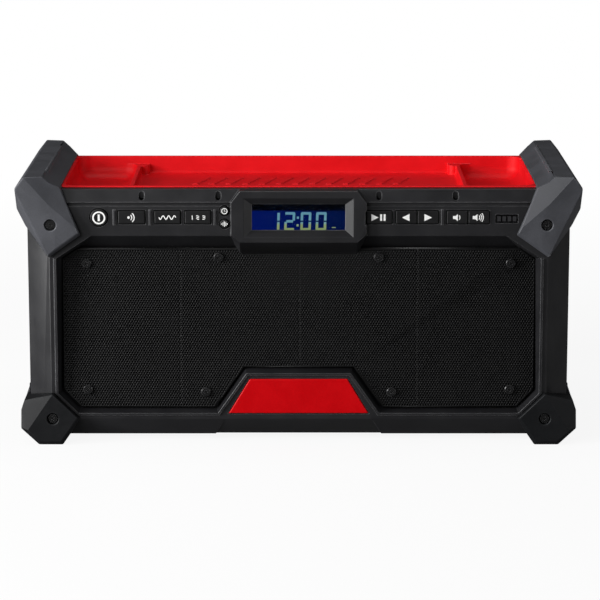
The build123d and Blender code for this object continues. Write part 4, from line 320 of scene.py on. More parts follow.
# The skid guards' rubber: a darker copy of the guard rubber, painted shade for the little light that reaches
# them low down.
def guard_rubber_shaded():
    return finish("guard_rubber_shaded", shade(14, 15, 17), shade(20, 21, 23), (0.46, 0.58), grain=1500.0,
                  bump=0.05, edge_wear_highlight_colour=shade(80, 81, 85), edge_wear_highlight_share=0.5, dust=0.04, specular=0.2, radius=1.2 * MM)


# Tray moulding: the light colour on its edges is a painted highlight, mostly along the rims.
def tray_red():
    return finish("tray_red", shade(214, 6, 16), shade(230, 9, 22), (0.46, 0.58), grain=2600.0,
                  bump=0.012, edge_wear_highlight_colour=shade(244, 104, 114), edge_wear_highlight_share=0.6, dust=0.03, specular=0.22,
                  radius=0.5 * MM)


def grille_paint():
    return finish("grille_paint", shade(11, 11, 12), shade(16, 16, 17), (0.36, 0.5), grain=3000.0,
                  bump=0.01, dust=0.04, specular=0.2)


def badge_lacquer():
    return finish("badge_lacquer", shade(186, 1, 8), shade(200, 2, 11), (0.3, 0.4), grain=900.0,
                  bump=0.004, edge_wear_highlight_colour=shade(225, 60, 66), edge_wear_highlight_share=0.6, dust=0.02, specular=0.15)


# Key moulding: its edges lightened, partly wear and partly a painted highlight, and the gaps around the keys
# darkened as painted shade.
def key_plastic():
    return finish("key_plastic", shade(19, 19, 20), shade(25, 25, 26), (0.34, 0.46), grain=2800.0,
                  bump=0.012, edge_wear_highlight_colour=shade(84, 84, 86), edge_wear_highlight_share=0.6, dust=0.04, specular=0.3, radius=0.4 * MM,
                  painted_gap_darkness=0.95)


# Screw heads: the light colour on their edges is a painted glint.
def screw_steel():
    return finish("screw_steel", shade(7, 7, 8), shade(13, 13, 14), (0.22, 0.32), grain=3400.0,
                  bump=0.006, edge_wear_highlight_colour=shade(176, 176, 178), edge_wear_highlight_share=0.45, dust=0.02, radius=0.2 * MM)


def bright_steel():
    return finish("bright_steel", shade(150, 150, 152), shade(186, 186, 188), (0.2, 0.34), grain=2600.0,
                  bump=0.004, dust=0.1, metallic=1.0)


def board_lacquer():
    return finish("board_lacquer", shade(12, 62, 34), shade(20, 84, 46), (0.24, 0.36), grain=700.0,
                  bump=0.01, edge_wear_highlight_colour=shade(150, 140, 84), edge_wear_highlight_share=0.7, dust=0.15, coat=0.3)


def switch_plastic():
    return finish("switch_plastic", shade(34, 34, 36), shade(50, 50, 52), (0.4, 0.52), dust=0.2)


def basket_paint():
    return finish("basket_paint", shade(16, 16, 17), shade(24, 24, 25), (0.4, 0.56), grain=1400.0,
                  bump=0.03, edge_wear_highlight_colour=shade(90, 90, 92), edge_wear_highlight_share=0.4, dust=0.3)


def magnet_ferrite():
    return finish("magnet_ferrite", shade(48, 46, 46), shade(66, 64, 62), (0.5, 0.7), grain=900.0,
                  bump=0.05, edge_wear_highlight_colour=shade(110, 106, 102), edge_wear_highlight_share=0.5, dust=0.4)


def cone_paper():
    return finish("cone_paper", shade(20, 20, 21), shade(34, 34, 35), (0.7, 0.86), grain=900.0,
                  mottle=120.0, bump=0.08, dust=0.2, specular=0.25)


def surround_rubber():
    return finish("surround_rubber", shade(16, 16, 17), shade(24, 24, 25), (0.4, 0.52), grain=1800.0,
                  bump=0.02, dust=0.3)


def coil_copper():
    return finish("coil_copper", shade(168, 92, 54), shade(196, 116, 70), (0.26, 0.4), grain=2200.0,
                  bump=0.02, dust=0.05, metallic=1.0)


def ring_alloy():
    return finish("ring_alloy", shade(120, 120, 124), shade(150, 150, 154), (0.2, 0.32), grain=2200.0,
                  bump=0.004, dust=0.1, metallic=1.0)


def pack_plastic():
    return finish("pack_plastic", shade(26, 26, 28), shade(36, 36, 38), (0.44, 0.58), grain=1600.0,
                  bump=0.03, edge_wear_highlight_colour=shade(88, 88, 90), edge_wear_highlight_share=0.5, dust=0.25, specular=0.35)


def pack_button_red():
    return finish("pack_button_red", shade(176, 8, 18), shade(196, 12, 24), (0.38, 0.5), grain=2200.0,
                  bump=0.015, edge_wear_highlight_colour=shade(226, 70, 76), edge_wear_highlight_share=0.5, dust=0.15)


def contact_plate():
    return finish("contact_plate", shade(188, 170, 120), shade(214, 198, 150), (0.18, 0.3), grain=2600.0,
                  bump=0.003, dust=0.05, metallic=1.0)


def rod_chrome():
    return finish("rod_chrome", shade(172, 172, 176), shade(204, 204, 208), (0.1, 0.2), grain=1800.0,
                  bump=0.003, dust=0.12, metallic=1.0)


def flap_rubber():
    return finish("flap_rubber", shade(20, 20, 21), shade(30, 30, 31), (0.58, 0.74), grain=1200.0,
                  bump=0.04, edge_wear_highlight_colour=shade(66, 66, 68), edge_wear_highlight_share=0.4, dust=0.35, specular=0.3)


def seal_foam():
    return finish("seal_foam", shade(38, 38, 40), shade(56, 56, 58), (0.8, 0.92), grain=1500.0, bump=0.12,
                  dust=0.2, specular=0.2)


def cooler_alloy():
    return finish("cooler_alloy", shade(124, 126, 130), shade(158, 160, 164), (0.34, 0.48), grain=1300.0,
                  bump=0.01, edge_wear_highlight_colour=shade(200, 200, 204), edge_wear_highlight_share=0.4, dust=0.2, metallic=1.0)


def clear_lens():
    """Clear window: faint smears in the roughness."""
    material, tree, shader = empty_material("clear_lens")
    smears = place_group(tree, DUST, Per_Metre=120.0, Amount=1.0)
    tree.links.new(ramp(tree, smears.outputs["Dust"], 0.0, 1.0, 0.02, 0.12), shader.inputs["Roughness"])
    shader.inputs["Base Color"].default_value = (0.94, 0.96, 1.0, 1.0)
    shader.inputs["Transmission Weight"].default_value = 1.0
    shader.inputs["IOR"].default_value = 1.05
    return material


def backlit_blue():
    """The display's lit glass: blue, brighter towards the lamp at its left end, under a black strip of painted
    shade from the window's top edge.
    """
    material, tree, shader = empty_material("backlit_blue")
    low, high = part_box("display_panel")
    split = tree.nodes.new("ShaderNodeSeparateXYZ")
    tree.links.new(tree.nodes.new("ShaderNodeTexCoord").outputs["Object"], split.inputs[0])
    along = ramp(tree, split.outputs["X"], low.x, high.x)
    cells = place_group(tree, GRAIN, Grain_Per_Metre=900.0, Mottle_Per_Metre=60.0)
    lit = mix(tree, along, shade(0, 13, 84), shade(0, 10, 52))
    lit = mix(tree, maths(tree, "MULTIPLY", cells.outputs["Shade"], 0.18), lit, shade(0, 22, 84))
    # painted shade: the glow is blacked out above the lit height, as if shaded by the window's top edge
    top_shadow = ramp(tree, split.outputs["Z"], low.z + LIT_HEIGHT - TOP_SHADOW_BLUR, low.z + LIT_HEIGHT + TOP_SHADOW_BLUR)
    tree.links.new(mix(tree, top_shadow, lit, (0.0, 0.0, 0.0, 1.0)), shader.inputs["Emission Color"])
    shader.inputs["Emission Strength"].default_value = 1.0
    shader.inputs["Base Color"].default_value = shade(0, 2, 10)
    shader.inputs["Specular IOR Level"].default_value = 0.02
    shader.inputs["Roughness"].default_value = 0.2
    return material


def figure_glow():
    """The display's figures: pale cyan above, yellowish green below."""
    material, tree, shader = empty_material("figure_glow")
    low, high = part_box("display_panel")
    split = tree.nodes.new("ShaderNodeSeparateXYZ")
    tree.links.new(tree.nodes.new("ShaderNodeTexCoord").outputs["Object"], split.inputs[0])
    middle = low.z + FIGURE_MIDDLE
    up = ramp(tree, split.outputs["Z"], middle - 3.0 * MM, middle - 0.5 * MM)
    tree.links.new(mix(tree, up, shade(138, 156, 96), shade(92, 152, 170)), shader.inputs["Emission Color"])
    shader.inputs["Emission Strength"].default_value = 0.75
    shader.inputs["Base Color"].default_value = shade(10, 20, 20)
    shader.inputs["Roughness"].default_value = 0.4
    return material


def white_ink():
    return finish("white_ink", shade(240, 240, 238), shade(250, 250, 248), (0.4, 0.5), grain=4000.0,
                  bump=0.002, dust=0.03)


def smoked_window():
    return finish("smoked_window", shade(4, 4, 5), shade(8, 8, 9), (0.1, 0.16), grain=800.0,
                  bump=0.001, dust=0.03, specular=0.15)


def cell_grey():
    return finish("cell_grey", shade(40, 40, 42), shade(50, 50, 52), (0.4, 0.5), grain=2400.0,
                  bump=0.002, dust=0.03, specular=0.2)


FINISH_OF_SLOT = {
    "housing": case_plastic(), "guard": guard_rubber(), "tray": tray_red(), "grille": grille_paint(),
    "badge": badge_lacquer(), "lens": clear_lens(), "display": backlit_blue(), "keys": key_plastic(),
    "screws": screw_steel(), "steel": bright_steel(), "board": board_lacquer(),
    "switches": switch_plastic(), "basket": basket_paint(), "magnet": magnet_ferrite(),
    "cone": cone_paper(), "surround": surround_rubber(), "coil": coil_copper(), "ring": ring_alloy(),
    "pack": pack_plastic(), "pack_buttons": pack_button_red(), "contacts": contact_plate(),
    "rod": rod_chrome(), "flap": flap_rubber(), "seal": seal_foam(), "cooler": cooler_alloy(),
}
SHADED_GUARD_RUBBER = guard_rubber_shaded()
SMOKED = smoked_window()
# the skid guards take the shaded copy of the guard rubber (painted shade), the gauge window its smoked finish
FINISH_OF_NODE = {"skid_guard_right": SHADED_GUARD_RUBBER, "skid_guard_left": SHADED_GUARD_RUBBER, "gauge_lens": SMOKED}
INK_WHITE = white_ink()
GLOW = figure_glow()
CELLS = cell_grey()


def finish_of(node):
    """A node's finish: its own, or that of its material slot."""
    return FINISH_OF_NODE.get(node, FINISH_OF_SLOT[SLOT_OF[node]])


# ---------------------------------------------------------------- pieces
def add_piece(mesh, node, material, stands_for=False):
    """Puts a mesh in the scene as a piece that goes with a CAD node, and stands for it if asked."""
    piece = bpy.data.objects.new(mesh.name, mesh)
    bpy.context.scene.collection.objects.link(piece)
    mesh.materials.clear()
    mesh.materials.append(material)
    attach(piece, BODY_OF[node])
    if stands_for:
        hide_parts(node)
    return piece


def sheet_mesh(name, points, faces):
    """A mesh from an array of points and an array of faces with as many corners each."""
    mesh = bpy.data.meshes.new(name)
    mesh.vertices.add(len(points))
    mesh.vertices.foreach_set("co", np.asarray(points, np.float32).ravel())
    corners = faces.shape[1]
    mesh.loops.add(faces.size)
    mesh.loops.foreach_set("vertex_index", faces.astype(np.int32).ravel())
    mesh.polygons.add(len(faces))
    mesh.polygons.foreach_set("loop_start", np.arange(0, faces.size, corners, dtype=np.int32))
    mesh.update(calc_edges=True)
    mesh.validate()
    return mesh


# how wide each node's rounding is, in millimetres
EDGE_OF = {
    "front_housing": 0.4, "main_housing": 0.4, "back_cover": 0.3, "tray": 0.35,
    "grip_guard_right": 0.7, "grip_guard_left": 0.7, "skid_guard_right": 0.7, "skid_guard_left": 0.7,
    "badge": 0.35, "battery_pack": 0.6, "pack_button_upper": 0.5, "pack_button_lower": 0.5,
    "socket_flap": 0.3, "grip_bars": 0.8, "heat_sink": 0.15, "terminal_block": 0.2, "gauge_lens": 0.12,
    "woofer_baskets": 0.25, "woofer_magnets": 0.5, "key_switches": 0.15, "usb_socket": 0.1,
    **{f"{name}_key": 0.28 for name in (
        "power", "source", "band", "preset", "play", "previous", "next", "volume_down", "volume_up", "clock",
        "tone")},
}


def rounded(node, width):
    """A merged copy of a node's mesh with its sharp edges rounded to a width, which stands for the node.

    Merging gives the rounding whole flat faces to meet. On the shells they stay whole. Elsewhere one may run
    round an opening and close over it, so there they are cut again, and their shading is evened out.
    """
    mesh = NODES[node].data.copy()
    mesh.name = f"{node}_finished"
    work = bmesh.new()
    work.from_mesh(mesh)
    bmesh.ops.remove_doubles(work, verts=work.verts, dist=MERGE)
    bmesh.ops.dissolve_limit(work, angle_limit=FLAT, verts=work.verts, edges=work.edges)
    if node not in SHELLS:
        bmesh.ops.triangulate(work, faces=work.faces)
    work.to_mesh(mesh)
    work.free()
    mesh.polygons.foreach_set("use_smooth", np.ones(len(mesh.polygons), bool))
    mesh.set_sharp_from_angle(angle=SHARP)
    piece = add_piece(mesh, node, finish_of(node), stands_for=True)
    bevel = piece.modifiers.new("rounded_edges", "BEVEL")
    bevel.width = width * MM
    bevel.segments = 2
    bevel.limit_method = "ANGLE"
    bevel.angle_limit = SHARP
    bevel.use_clamp_overlap = False
    bevel.loop_slide = False
    bevel.harden_normals = True
    if node not in SHELLS:
        piece.modifiers.new("flat_faces_even", "WEIGHTED_NORMAL").keep_sharp = True
    return piece


def dress_nodes():
    """Every node gets its finish; those with edges to round get a rounded copy."""
    for name, node in NODES.items():
        node.material_slots[0].material = finish_of(name)
    for name, width in EDGE_OF.items():
        rounded(name, width)


# ---------------------------------------------------------------- perforated grille
def grille_front():
    """The folded front of the grille node: its triangles in (x, z), and their planes.

    A plane is given by its slope along x, its slope along z and its y at x = z = 0.
    """
    mesh = NODES["speaker_grille"].data
    mesh.calc_loop_triangles()
    points = np.array([v.co for v in mesh.vertices])
    triangles = points[np.array([t.vertices for t in mesh.loop_triangles])]
    normals = np.cross(triangles[:, 1] - triangles[:, 0], triangles[:, 2] - triangles[:, 0])
    front = normals[:, 1] < -0.8 * np.linalg.norm(normals, axis=1)
    triangles, normals = triangles[front], normals[front]
    slopes = -normals[:, [0, 2]] / normals[:, 1:2]
    flat = triangles[:, :, [0, 2]]
    start = triangles[:, 0, 1] - (slopes * flat[:, 0]).sum(1)
    return flat, np.column_stack([slopes, start])


def holders(places, triangles, slack=0.0):
    """For each (x, z) place, the triangle that holds it, or -1; it may lie outside an edge by the slack."""
    found = np.full(len(places), -1)
    for number, corners in enumerate(triangles):
        a, b, c = corners
        turn = np.sign((b[0] - a[0]) * (c[1] - a[1]) - (c[0] - a[0]) * (b[1] - a[1]))
        within = found < 0
        for p, q in ((a, b), (b, c), (c, a)):
            side = (q[0] - p[0]) * (places[:, 1] - p[1]) - (q[1] - p[1]) * (places[:, 0] - p[0])
            within &= side * turn >= -slack * np.hypot(*(q - p))
        found[within] = number
    return found


def ring_triangles(outer, inner):
    """Triangles between two rings of corners given by their angles, as indices into outer then inner."""
    i = j = 0
    made = []
    while i < len(outer) or j < len(inner):
        next_outer = outer[i + 1] if i + 1 < len(outer) else outer[0] + 2 * pi
        next_inner = inner[j + 1] if j + 1 < len(inner) else inner[0] + 2 * pi
        here_outer, here_inner = i % len(outer), len(outer) + j % len(inner)
        if j >= len(inner) or (i < len(outer) and next_outer <= next_inner):
            made.append((here_outer, (i + 1) % len(outer), here_inner))
            i += 1
        else:
            made.append((here_outer, len(outer) + (j + 1) % len(inner), here_inner))
            j += 1
    return np.array(made)


def border(triangles):
    """The border of a patch of (x, z) triangles: its corners, and the edges that only one triangle has."""
    corners, index = np.unique(np.round(triangles.reshape(-1, 2), 7), axis=0, return_inverse=True)
    faces = index.reshape(-1, 3)
    edges = np.concatenate([faces[:, [0, 1]], faces[:, [1, 2]], faces[:, [2, 0]]])
    kinds, counts = np.unique(np.sort(edges, axis=1), axis=0, return_counts=True)
    return corners, kinds[counts == 1]


def lattice_centres(low, high, row):
    """A staggered lattice over a box: rows a row apart, every other one shifted by half a HOLE_PITCH."""
    columns = np.arange(np.floor(low[0] / HOLE_PITCH) - 1, np.ceil(high[0] / HOLE_PITCH) + 2)
    rows = np.arange(np.floor(low[1] / row) - 1, np.ceil(high[1] / row) + 2)
    across, up = np.meshgrid(columns, rows)
    return np.column_stack([((across + 0.5 * (up % 2)) * HOLE_PITCH).ravel(), (up * row).ravel()])


def in_kept_cell(places, centres, row):
    """For each place, whether the lattice centre nearest to it is one of the kept centres."""
    kept = {tuple(key) for key in np.round(centres / HOLE_PITCH * 100).astype(int)}
    best, chosen = np.full(len(places), np.inf), np.zeros((len(places), 2))
    for step in (0, 1, -1):
        up = np.round(places[:, 1] / row) + step
        across = np.round(places[:, 0] / HOLE_PITCH - 0.5 * (up % 2))
        near = np.column_stack([(across + 0.5 * (up % 2)) * HOLE_PITCH, up * row])
        away = np.hypot(*(near - places).T)
        better = away < best
        best[better], chosen[better] = away[better], near[better]
    keys = np.round(chosen / HOLE_PITCH * 100).astype(int)
    return np.array([tuple(key) in kept for key in keys])


def perforated_sheet():
    """The sheet in (x, z): hexagonal cells with a round hole each, and plain sheet from them to its border.

    Gives the corners, and the triangles with the x of the cell or patch that each belongs to.
    """
    sheet, _ = grille_front()
    row = HOLE_PITCH * np.sqrt(3) / 2
    every = sheet.reshape(-1, 2)
    centres = lattice_centres(every.min(0), every.max(0), row)
    hexagon = np.arange(6) * pi / 3 + pi / 6
    hole = np.arange(HOLE_SIDES) * 2 * pi / HOLE_SIDES + pi / 6
    reach = HOLE_PITCH / np.sqrt(3)
    rim = np.column_stack([np.cos(hexagon), np.sin(hexagon)]) * reach
    cut = np.column_stack([np.cos(hole), np.sin(hole)]) * HOLE_RADIUS
    whole = np.ones(len(centres), bool)
    for corner in rim * (1 + GRILLE_MARGIN / reach):
        whole &= holders(centres + corner, sheet) >= 0
    centres = centres[whole]
    cell = np.concatenate([rim, cut])
    flat = (centres[:, None, :] + cell[None]).reshape(-1, 2)
    ring = ring_triangles(hexagon, hole)
    faces = (ring[None] + (np.arange(len(centres)) * len(cell))[:, None, None]).reshape(-1, 3)
    place = np.repeat(centres[:, 0], len(ring))
    fan = np.array([(0, k, k + 1) for k in range(1, 5)])
    cell_corners, cell_edges = border(flat.reshape(-1, len(cell), 2)[:, fan].reshape(-1, 3, 2))
    sheet_corners, sheet_edges = border(sheet)
    corners = np.concatenate([cell_corners, sheet_corners])
    edges = np.concatenate([cell_edges, sheet_edges + len(cell_corners)])
    used, compact = np.unique(edges, return_inverse=True)
    made = delaunay_2d_cdt([tuple(corners[k]) for k in used], compact.reshape(-1, 2).tolist(), [], 0, 1e-8)
    filler_points = np.array(made[0])
    filler = np.array([face for face in made[2] if len(face) == 3])
    middle = filler_points[filler].mean(1)
    filler = filler[(holders(middle, sheet, 0.001 * MM) >= 0) & ~in_kept_cell(middle, centres, row)]
    place = np.concatenate([place, filler_points[filler].mean(1)[:, 0]])
    return np.concatenate([flat, filler_points]), np.concatenate([faces, filler + len(flat)]), place


def folded_depth(places):
    """The Y of the sheet's front at (x, z) places, on the flat that holds each."""
    sheet, planes = grille_front()
    found = holders(places, sheet, 0.02 * MM)
    slope_x, slope_z, start = planes[found].T
    return slope_x * places[:, 0] + slope_z * places[:, 1] + start


def closed_sheet(name, flat, faces):
    """A patch of the sheet with its back and its side walls, so that it is closed."""
    corners, index = np.unique(np.round(flat[faces.ravel()], 7), axis=0, return_inverse=True)
    faces = index.reshape(-1, 3)
    a, b, c = (corners[faces[:, k]] for k in range(3))
    turn = (b[:, 0] - a[:, 0]) * (c[:, 1] - a[:, 1]) - (c[:, 0] - a[:, 0]) * (b[:, 1] - a[:, 1])
    faces[turn < 0] = faces[turn < 0][:, ::-1]
    faces = faces[np.abs(turn) > 1e-14]
    front = np.column_stack([corners[:, 0], folded_depth(corners), corners[:, 1]])
    back = front + (0, GRILLE_THICKNESS, 0)
    edges = np.concatenate([faces[:, [0, 1]], faces[:, [1, 2]], faces[:, [2, 0]]])
    _, first, counts = np.unique(np.sort(edges, axis=1), axis=0, return_index=True, return_counts=True)
    rim = edges[first[counts == 1]]
    count = len(corners)
    walls = np.concatenate([
        np.column_stack([rim[:, 1], rim[:, 0], rim[:, 0] + count]),
        np.column_stack([rim[:, 1], rim[:, 0] + count, rim[:, 1] + count]),
    ])
    points = np.concatenate([front, back])
    return sheet_mesh(name, points, np.concatenate([faces, faces[:, ::-1] + count, walls]))


def perforated_grille():
    """The speaker grille as pierced sheet, in pieces side by side that meet along the edges of its cells."""
    flat, faces, place = perforated_sheet()
    low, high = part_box("speaker_grille")
    cuts = np.linspace(low.x, high.x, GRILLE_PIECES + 1)[1:-1]
    top_shadow = np.searchsorted(cuts, place)
    for number in range(GRILLE_PIECES):
        mesh = closed_sheet(f"grille_sheet_{number + 1}", flat, faces[top_shadow == number])
        add_piece(mesh, "speaker_grille", FINISH_OF_SLOT["grille"], stands_for=True)


# ---------------------------------------------------------------- printed marks and figures
def bar(x, z, width, height):
    """A rectangle as one (x, z) polygon, in millimetres."""
    return [[(x - width / 2, z - height / 2), (x + width / 2, z - height / 2),
             (x + width / 2, z + height / 2), (x - width / 2, z + height / 2)]]


def arc(x, z, radius, width, start=0.0, end=360.0, steps=36):
    """A band along a circle, from one angle to another in degrees: radius plus or minus half its width."""
    turns = np.radians(np.linspace(start, end, steps + 1))
    inner = [(x + (radius - width / 2) * cos(t), z + (radius - width / 2) * sin(t)) for t in turns]
    outer = [(x + (radius + width / 2) * cos(t), z + (radius + width / 2) * sin(t)) for t in turns]
    return [[inner[k], outer[k], outer[k + 1], inner[k + 1]] for k in range(steps)]


def disc(x, z, radius, steps=24):
    """A filled circle as one polygon."""
    turns = [2 * pi * k / steps for k in range(steps)]
    return [[(x + radius * cos(t), z + radius * sin(t)) for t in turns]]


def line(points, width):
    """A band of a width along an open path, its corners mitred."""
    path = np.array(points, float)
    ahead = np.diff(path, axis=0)
    ahead /= np.hypot(ahead[:, 0], ahead[:, 1])[:, None]
    sides = np.column_stack([-ahead[:, 1], ahead[:, 0]])
    mean = np.concatenate([sides[:1], sides[:-1] + sides[1:], sides[-1:]])
    mean /= np.hypot(mean[:, 0], mean[:, 1])[:, None]
    nearest = np.concatenate([sides[:1], sides])
    offset = mean / (mean * nearest).sum(1)[:, None] * width / 2
    left, right = path + offset, path - offset
    return [[tuple(right[k]), tuple(right[k + 1]), tuple(left[k + 1]), tuple(left[k])]
            for k in range(len(path) - 1)]


def speaker_mark(x, arcs):
    """A small horn with sound arcs on its right."""
    shapes = bar(x - 2.1, 0, 1.6, 2.2)
    shapes += [[(x - 1.3, -1.1), (x + 0.5, -2.5), (x + 0.5, 2.5), (x - 1.3, 1.1)]]
    for k in range(arcs):
        shapes += arc(x - 0.6, 0, 2.6 + 1.3 * k, 0.6, -36, 36, 10)
    return shapes


def figure(digit, x, z, width, height, stroke, gap=0.0):
    """A plain number drawn with seven bars, each kept off its neighbours by a gap."""
    lit = {"0": "abcdef", "1": "bc", "2": "abged", "3": "abgcd"}[digit]
    right, left, top, low = x + width / 2, x - width / 2, z + height / 2, z - height / 2
    level, tall = width - 2 * gap, height / 2 - 2 * gap
    spots = {
        "a": bar(x, top - stroke / 2, level, stroke), "g": bar(x, z, level - stroke, stroke),
        "d": bar(x, low + stroke / 2, level, stroke),
        "b": bar(right - stroke / 2, (top + z) / 2, stroke, tall),
        "c": bar(right - stroke / 2, (low + z) / 2, stroke, tall),
        "f": bar(left + stroke / 2, (top + z) / 2, stroke, tall),
        "e": bar(left + stroke / 2, (low + z) / 2, stroke, tall),
    }
    return [polygon for part in lit for polygon in spots[part]]


def wave(width, height, turns, steps=48):
    """Points of a sine wave: z = height / 2 * sin(2 pi turns x / width)."""
    x = np.linspace(-width / 2, width / 2, steps)
    return list(zip(x, height / 2 * np.sin(2 * pi * turns * x / width)))


# what is printed on each key, in millimetres from its middle
KEY_MARKS = {
    "power_key": arc(0, 0, 4.1, 1.1) + bar(0, 0, 1.5, 4.8),
    "source_key": (disc(-2.0, 0, 0.9) + arc(-2.0, 0, 2.3, 0.7, -50, 50, 14)
                   + arc(-2.0, 0, 4.0, 0.7, -50, 50, 18)),
    "band_key": line(wave(12.0, 2.6, 3), 0.7),
    "preset_key": (figure("1", -4.6, 0, 2.0, 3.0, 0.6) + figure("2", 0, 0, 2.0, 3.0, 0.6)
                   + figure("3", 4.4, 0, 2.0, 3.0, 0.6)),
    "play_key": ([[(-5.4, -2.5), (-0.2, 0), (-5.4, 2.5)]] + bar(1.5, 0, 1.4, 4.8) + bar(4.0, 0, 1.4, 4.8)),
    "previous_key": [[(2.2, -2.6), (2.2, 2.6), (-3.2, 0)]],
    "next_key": [[(-2.6, -2.6), (2.8, 0), (-2.6, 2.6)]],
    "volume_down_key": speaker_mark(0.0, 1),
    "volume_up_key": speaker_mark(-1.4, 3),
    "clock_key": arc(0, 0, 1.9, 0.6, steps=24) + bar(0, 0.45, 0.45, 1.3) + bar(0.4, 0, 0.9, 0.45),
    "tone_key": [polygon for k, tall in enumerate((1.0, 2.6, 4.0, 2.6, 1.0))
                 for polygon in bar(1.0 * (k - 2), 0, 0.55, tall)],
}


def flat_print(name, polygons, x, y, z, thickness):
    """Thin closed plates over (x, z) polygons in millimetres, their faces at y and their backs behind."""
    points, faces = [], []
    for polygon in polygons:
        first, n = len(points), len(polygon)
        points += [(x + px * MM, y, z + pz * MM) for px, pz in polygon]
        points += [(x + px * MM, y + thickness, z + pz * MM) for px, pz in polygon]
        faces.append(list(range(first, first + n)))
        faces.append(list(range(first + 2 * n - 1, first + n - 1, -1)))
        for k in range(n):
            a, b = first + k, first + (k + 1) % n
            faces.append([b, a, a + n, b + n])
    mesh = bpy.data.meshes.new(name)
    mesh.from_pydata(points, [], faces)
    work = bmesh.new()
    work.from_mesh(mesh)
    bmesh.ops.recalc_face_normals(work, faces=work.faces)
    work.to_mesh(mesh)
    work.free()
    return mesh


def print_keys():
    """White marks on the keys' faces, each moving with its key."""
    for node, polygons in KEY_MARKS.items():
        low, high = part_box(node)
        middle = (low + high) / 2
        mesh = flat_print(f"{node}_mark", polygons, middle.x, low.y - INK, middle.z, 2 * INK)
        add_piece(mesh, node, INK_WHITE)


def display_figures():
    """The time on the display, a colon and a small mark beside it, just in front of the lit glass."""
    low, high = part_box("display_panel")
    right = high.x - FIGURE_INSET
    sizes = [size / MM for size in (FIGURE_WIDTH, FIGURE_HEIGHT, SEGMENT, SEGMENT_GAP)]
    polygons = []
    for k, digit in enumerate("0021"):
        shift = -k * FIGURE_PITCH - (PAIR_GAP if k > 1 else 0.0)
        polygons += figure(digit, shift / MM, 0, *sizes)
    colon = (-1.5 * FIGURE_PITCH - PAIR_GAP / 2) / MM
    polygons += bar(colon, 2.6, 1.5, 1.6) + bar(colon, -2.9, 1.5, 1.6)
    polygons = [[(px + FIGURE_LEAN * pz, pz) for px, pz in polygon] for polygon in polygons]
    polygons += bar(9.0, -4.5, 2.8, 0.6)
    mesh = flat_print("display_figures", polygons, right - FIGURE_WIDTH / 2, low.y - INK,
                      low.z + FIGURE_MIDDLE, INK * 0.8)
    add_piece(mesh, "display_panel", GLOW)


def gauge_cells():
    """Grey cells side by side on the charge gauge's dark window, over its raised bars."""
    low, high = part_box("gauge_lens")
    middle = (low + high) / 2
    width = (high.x - low.x) / MM
    wide = (width - (CELLS_SHOWN + 1) * CELL_GAP) / CELLS_SHOWN
    polygons = []
    for k in range(CELLS_SHOWN):
        shift = CELL_GAP + wide / 2 + k * (wide + CELL_GAP) - width / 2
        polygons += bar(shift, 0, wide - CELL_TRIM, CELL_HEIGHT)
    mesh = flat_print("gauge_cells", polygons, middle.x, low.y - INK, middle.z, 2 * INK)
    add_piece(mesh, "gauge_lens", CELLS)


# ---------------------------------------------------------------- stage
def camera():
    """The camera, aimed level across and tilted down at the radio's face."""
    data = bpy.data.cameras.new("camera")
    data.lens = CAMERA_LENS
    data.sensor_width = 36.0
    data.clip_end = 20.0
    view = bpy.data.objects.new("camera", data)
    bpy.context.scene.collection.objects.link(view)
    x, y, z = CAMERA_AIM
    view.location = (x, y - CAMERA_DISTANCE * cos(CAMERA_TILT), z + CAMERA_DISTANCE * sin(CAMERA_TILT))
    view.rotation_euler = (pi / 2 - CAMERA_TILT, 0, 0)
    bpy.context.scene.camera = view


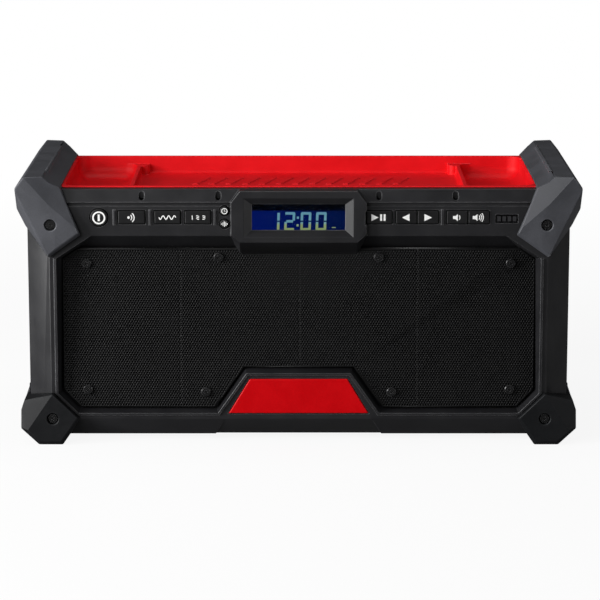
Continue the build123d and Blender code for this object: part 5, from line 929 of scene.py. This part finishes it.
def floor():
    """A plain pale floor: white to the camera, with the radio's shadow in it, and dull grey to other light.

    Its white glows by itself: FLOOR_GLOW of it up to GLOW_FROM from the middle, all of it from GLOW_FULL on.
    """
    corners = np.array([(-1, -1, 0), (1, -1, 0), (1, 1, 0), (-1, 1, 0)], float) * FLOOR_REACH
    mesh = sheet_mesh("floor", corners, np.array([[0, 1, 2, 3]]))
    piece = bpy.data.objects.new("floor", mesh)
    bpy.context.scene.collection.objects.link(piece)
    material, tree, shader = empty_material("floor_paint")
    shader.inputs["Base Color"].default_value = (FLOOR_GREY, FLOOR_GREY, FLOOR_GREY, 1.0)
    shader.inputs["Roughness"].default_value = 0.9
    shader.inputs["Specular IOR Level"].default_value = 0.0
    away = tree.nodes.new("ShaderNodeVectorMath")
    away.operation = "LENGTH"
    tree.links.new(tree.nodes.new("ShaderNodeTexCoord").outputs["Object"], away.inputs[0])
    glow = ramp(tree, away.outputs["Value"], GLOW_FROM, GLOW_FULL, FLOOR_GLOW, 1.0)
    pale = tree.nodes.new("ShaderNodeBsdfDiffuse")
    pale.inputs["Color"].default_value = (FLOOR_PALE, FLOOR_PALE, FLOOR_PALE, 1.0)
    white = tree.nodes.new("ShaderNodeEmission")
    shown = blend_shaders(tree, glow, pale.outputs[0], white.outputs[0])
    path = tree.nodes.new("ShaderNodeLightPath")
    mirrored = maths(tree, "MULTIPLY", path.outputs["Is Glossy Ray"], FLOOR_IN_GLOSS)
    seen = maths(tree, "MAXIMUM", maths(tree, "MAXIMUM", path.outputs["Is Camera Ray"], mirrored),
                 path.outputs["Is Transmission Ray"])
    tree.links.new(blend_shaders(tree, seen, shader.outputs[0], shown),
                   tree.nodes["Material Output"].inputs["Surface"])
    mesh.materials.append(material)


def blend_shaders(tree, share, first, second):
    """A Mix Shader of two shaders."""
    node = tree.nodes.new("ShaderNodeMixShader")
    plug(tree, share, node.inputs[0])
    tree.links.new(first, node.inputs[1])
    tree.links.new(second, node.inputs[2])
    return node.outputs[0]


def lamp(name, place, aim, width, height, power):
    """A soft rectangular lamp at a place, turned to an aim."""
    data = bpy.data.lights.new(name, "AREA")
    data.shape = "RECTANGLE"
    data.size = width
    data.size_y = height
    data.energy = power
    light = bpy.data.objects.new(name, data)
    bpy.context.scene.collection.objects.link(light)
    light.location = place
    light.rotation_euler = (light.location - Vector(aim)).to_track_quat("Z", "Y").to_euler()
    light.visible_camera = False


def studio():
    """A strong lamp on the left, a weaker one in front, weak ones on the right and above, and white around."""
    middle = (0, 0, 0.1)
    lamp("left_light", (-1.6, -0.75, 0.45), middle, 0.7, 0.9, 42.0)
    lamp("right_light", (1.6, -0.75, 0.4), middle, 0.7, 0.8, 6.0)
    lamp("front_light", (-1.1, -1.9, 1.0), middle, 1.0, 0.9, 22.0)
    lamp("top_light", (0.0, 0.1, 1.7), middle, 1.0, 0.8, 6.0)
    world = bpy.data.worlds.new("studio")
    world.use_nodes = True
    bpy.context.scene.world = world
    tree = world.node_tree
    ground = tree.nodes["Background"]
    path = tree.nodes.new("ShaderNodeLightPath")
    seen = maths(tree, "MAXIMUM", path.outputs["Is Camera Ray"], path.outputs["Is Transmission Ray"])
    tree.links.new(maths(tree, "MAXIMUM", seen, WORLD_LIGHT), ground.inputs["Strength"])
    ground.inputs["Color"].default_value = (1.0, 1.0, 1.0, 1.0)
    bpy.context.scene.view_settings.view_transform = "Standard"


camera()
floor()
studio()
dress_nodes()
perforated_grille()
print_keys()
display_figures()
gauge_cells()
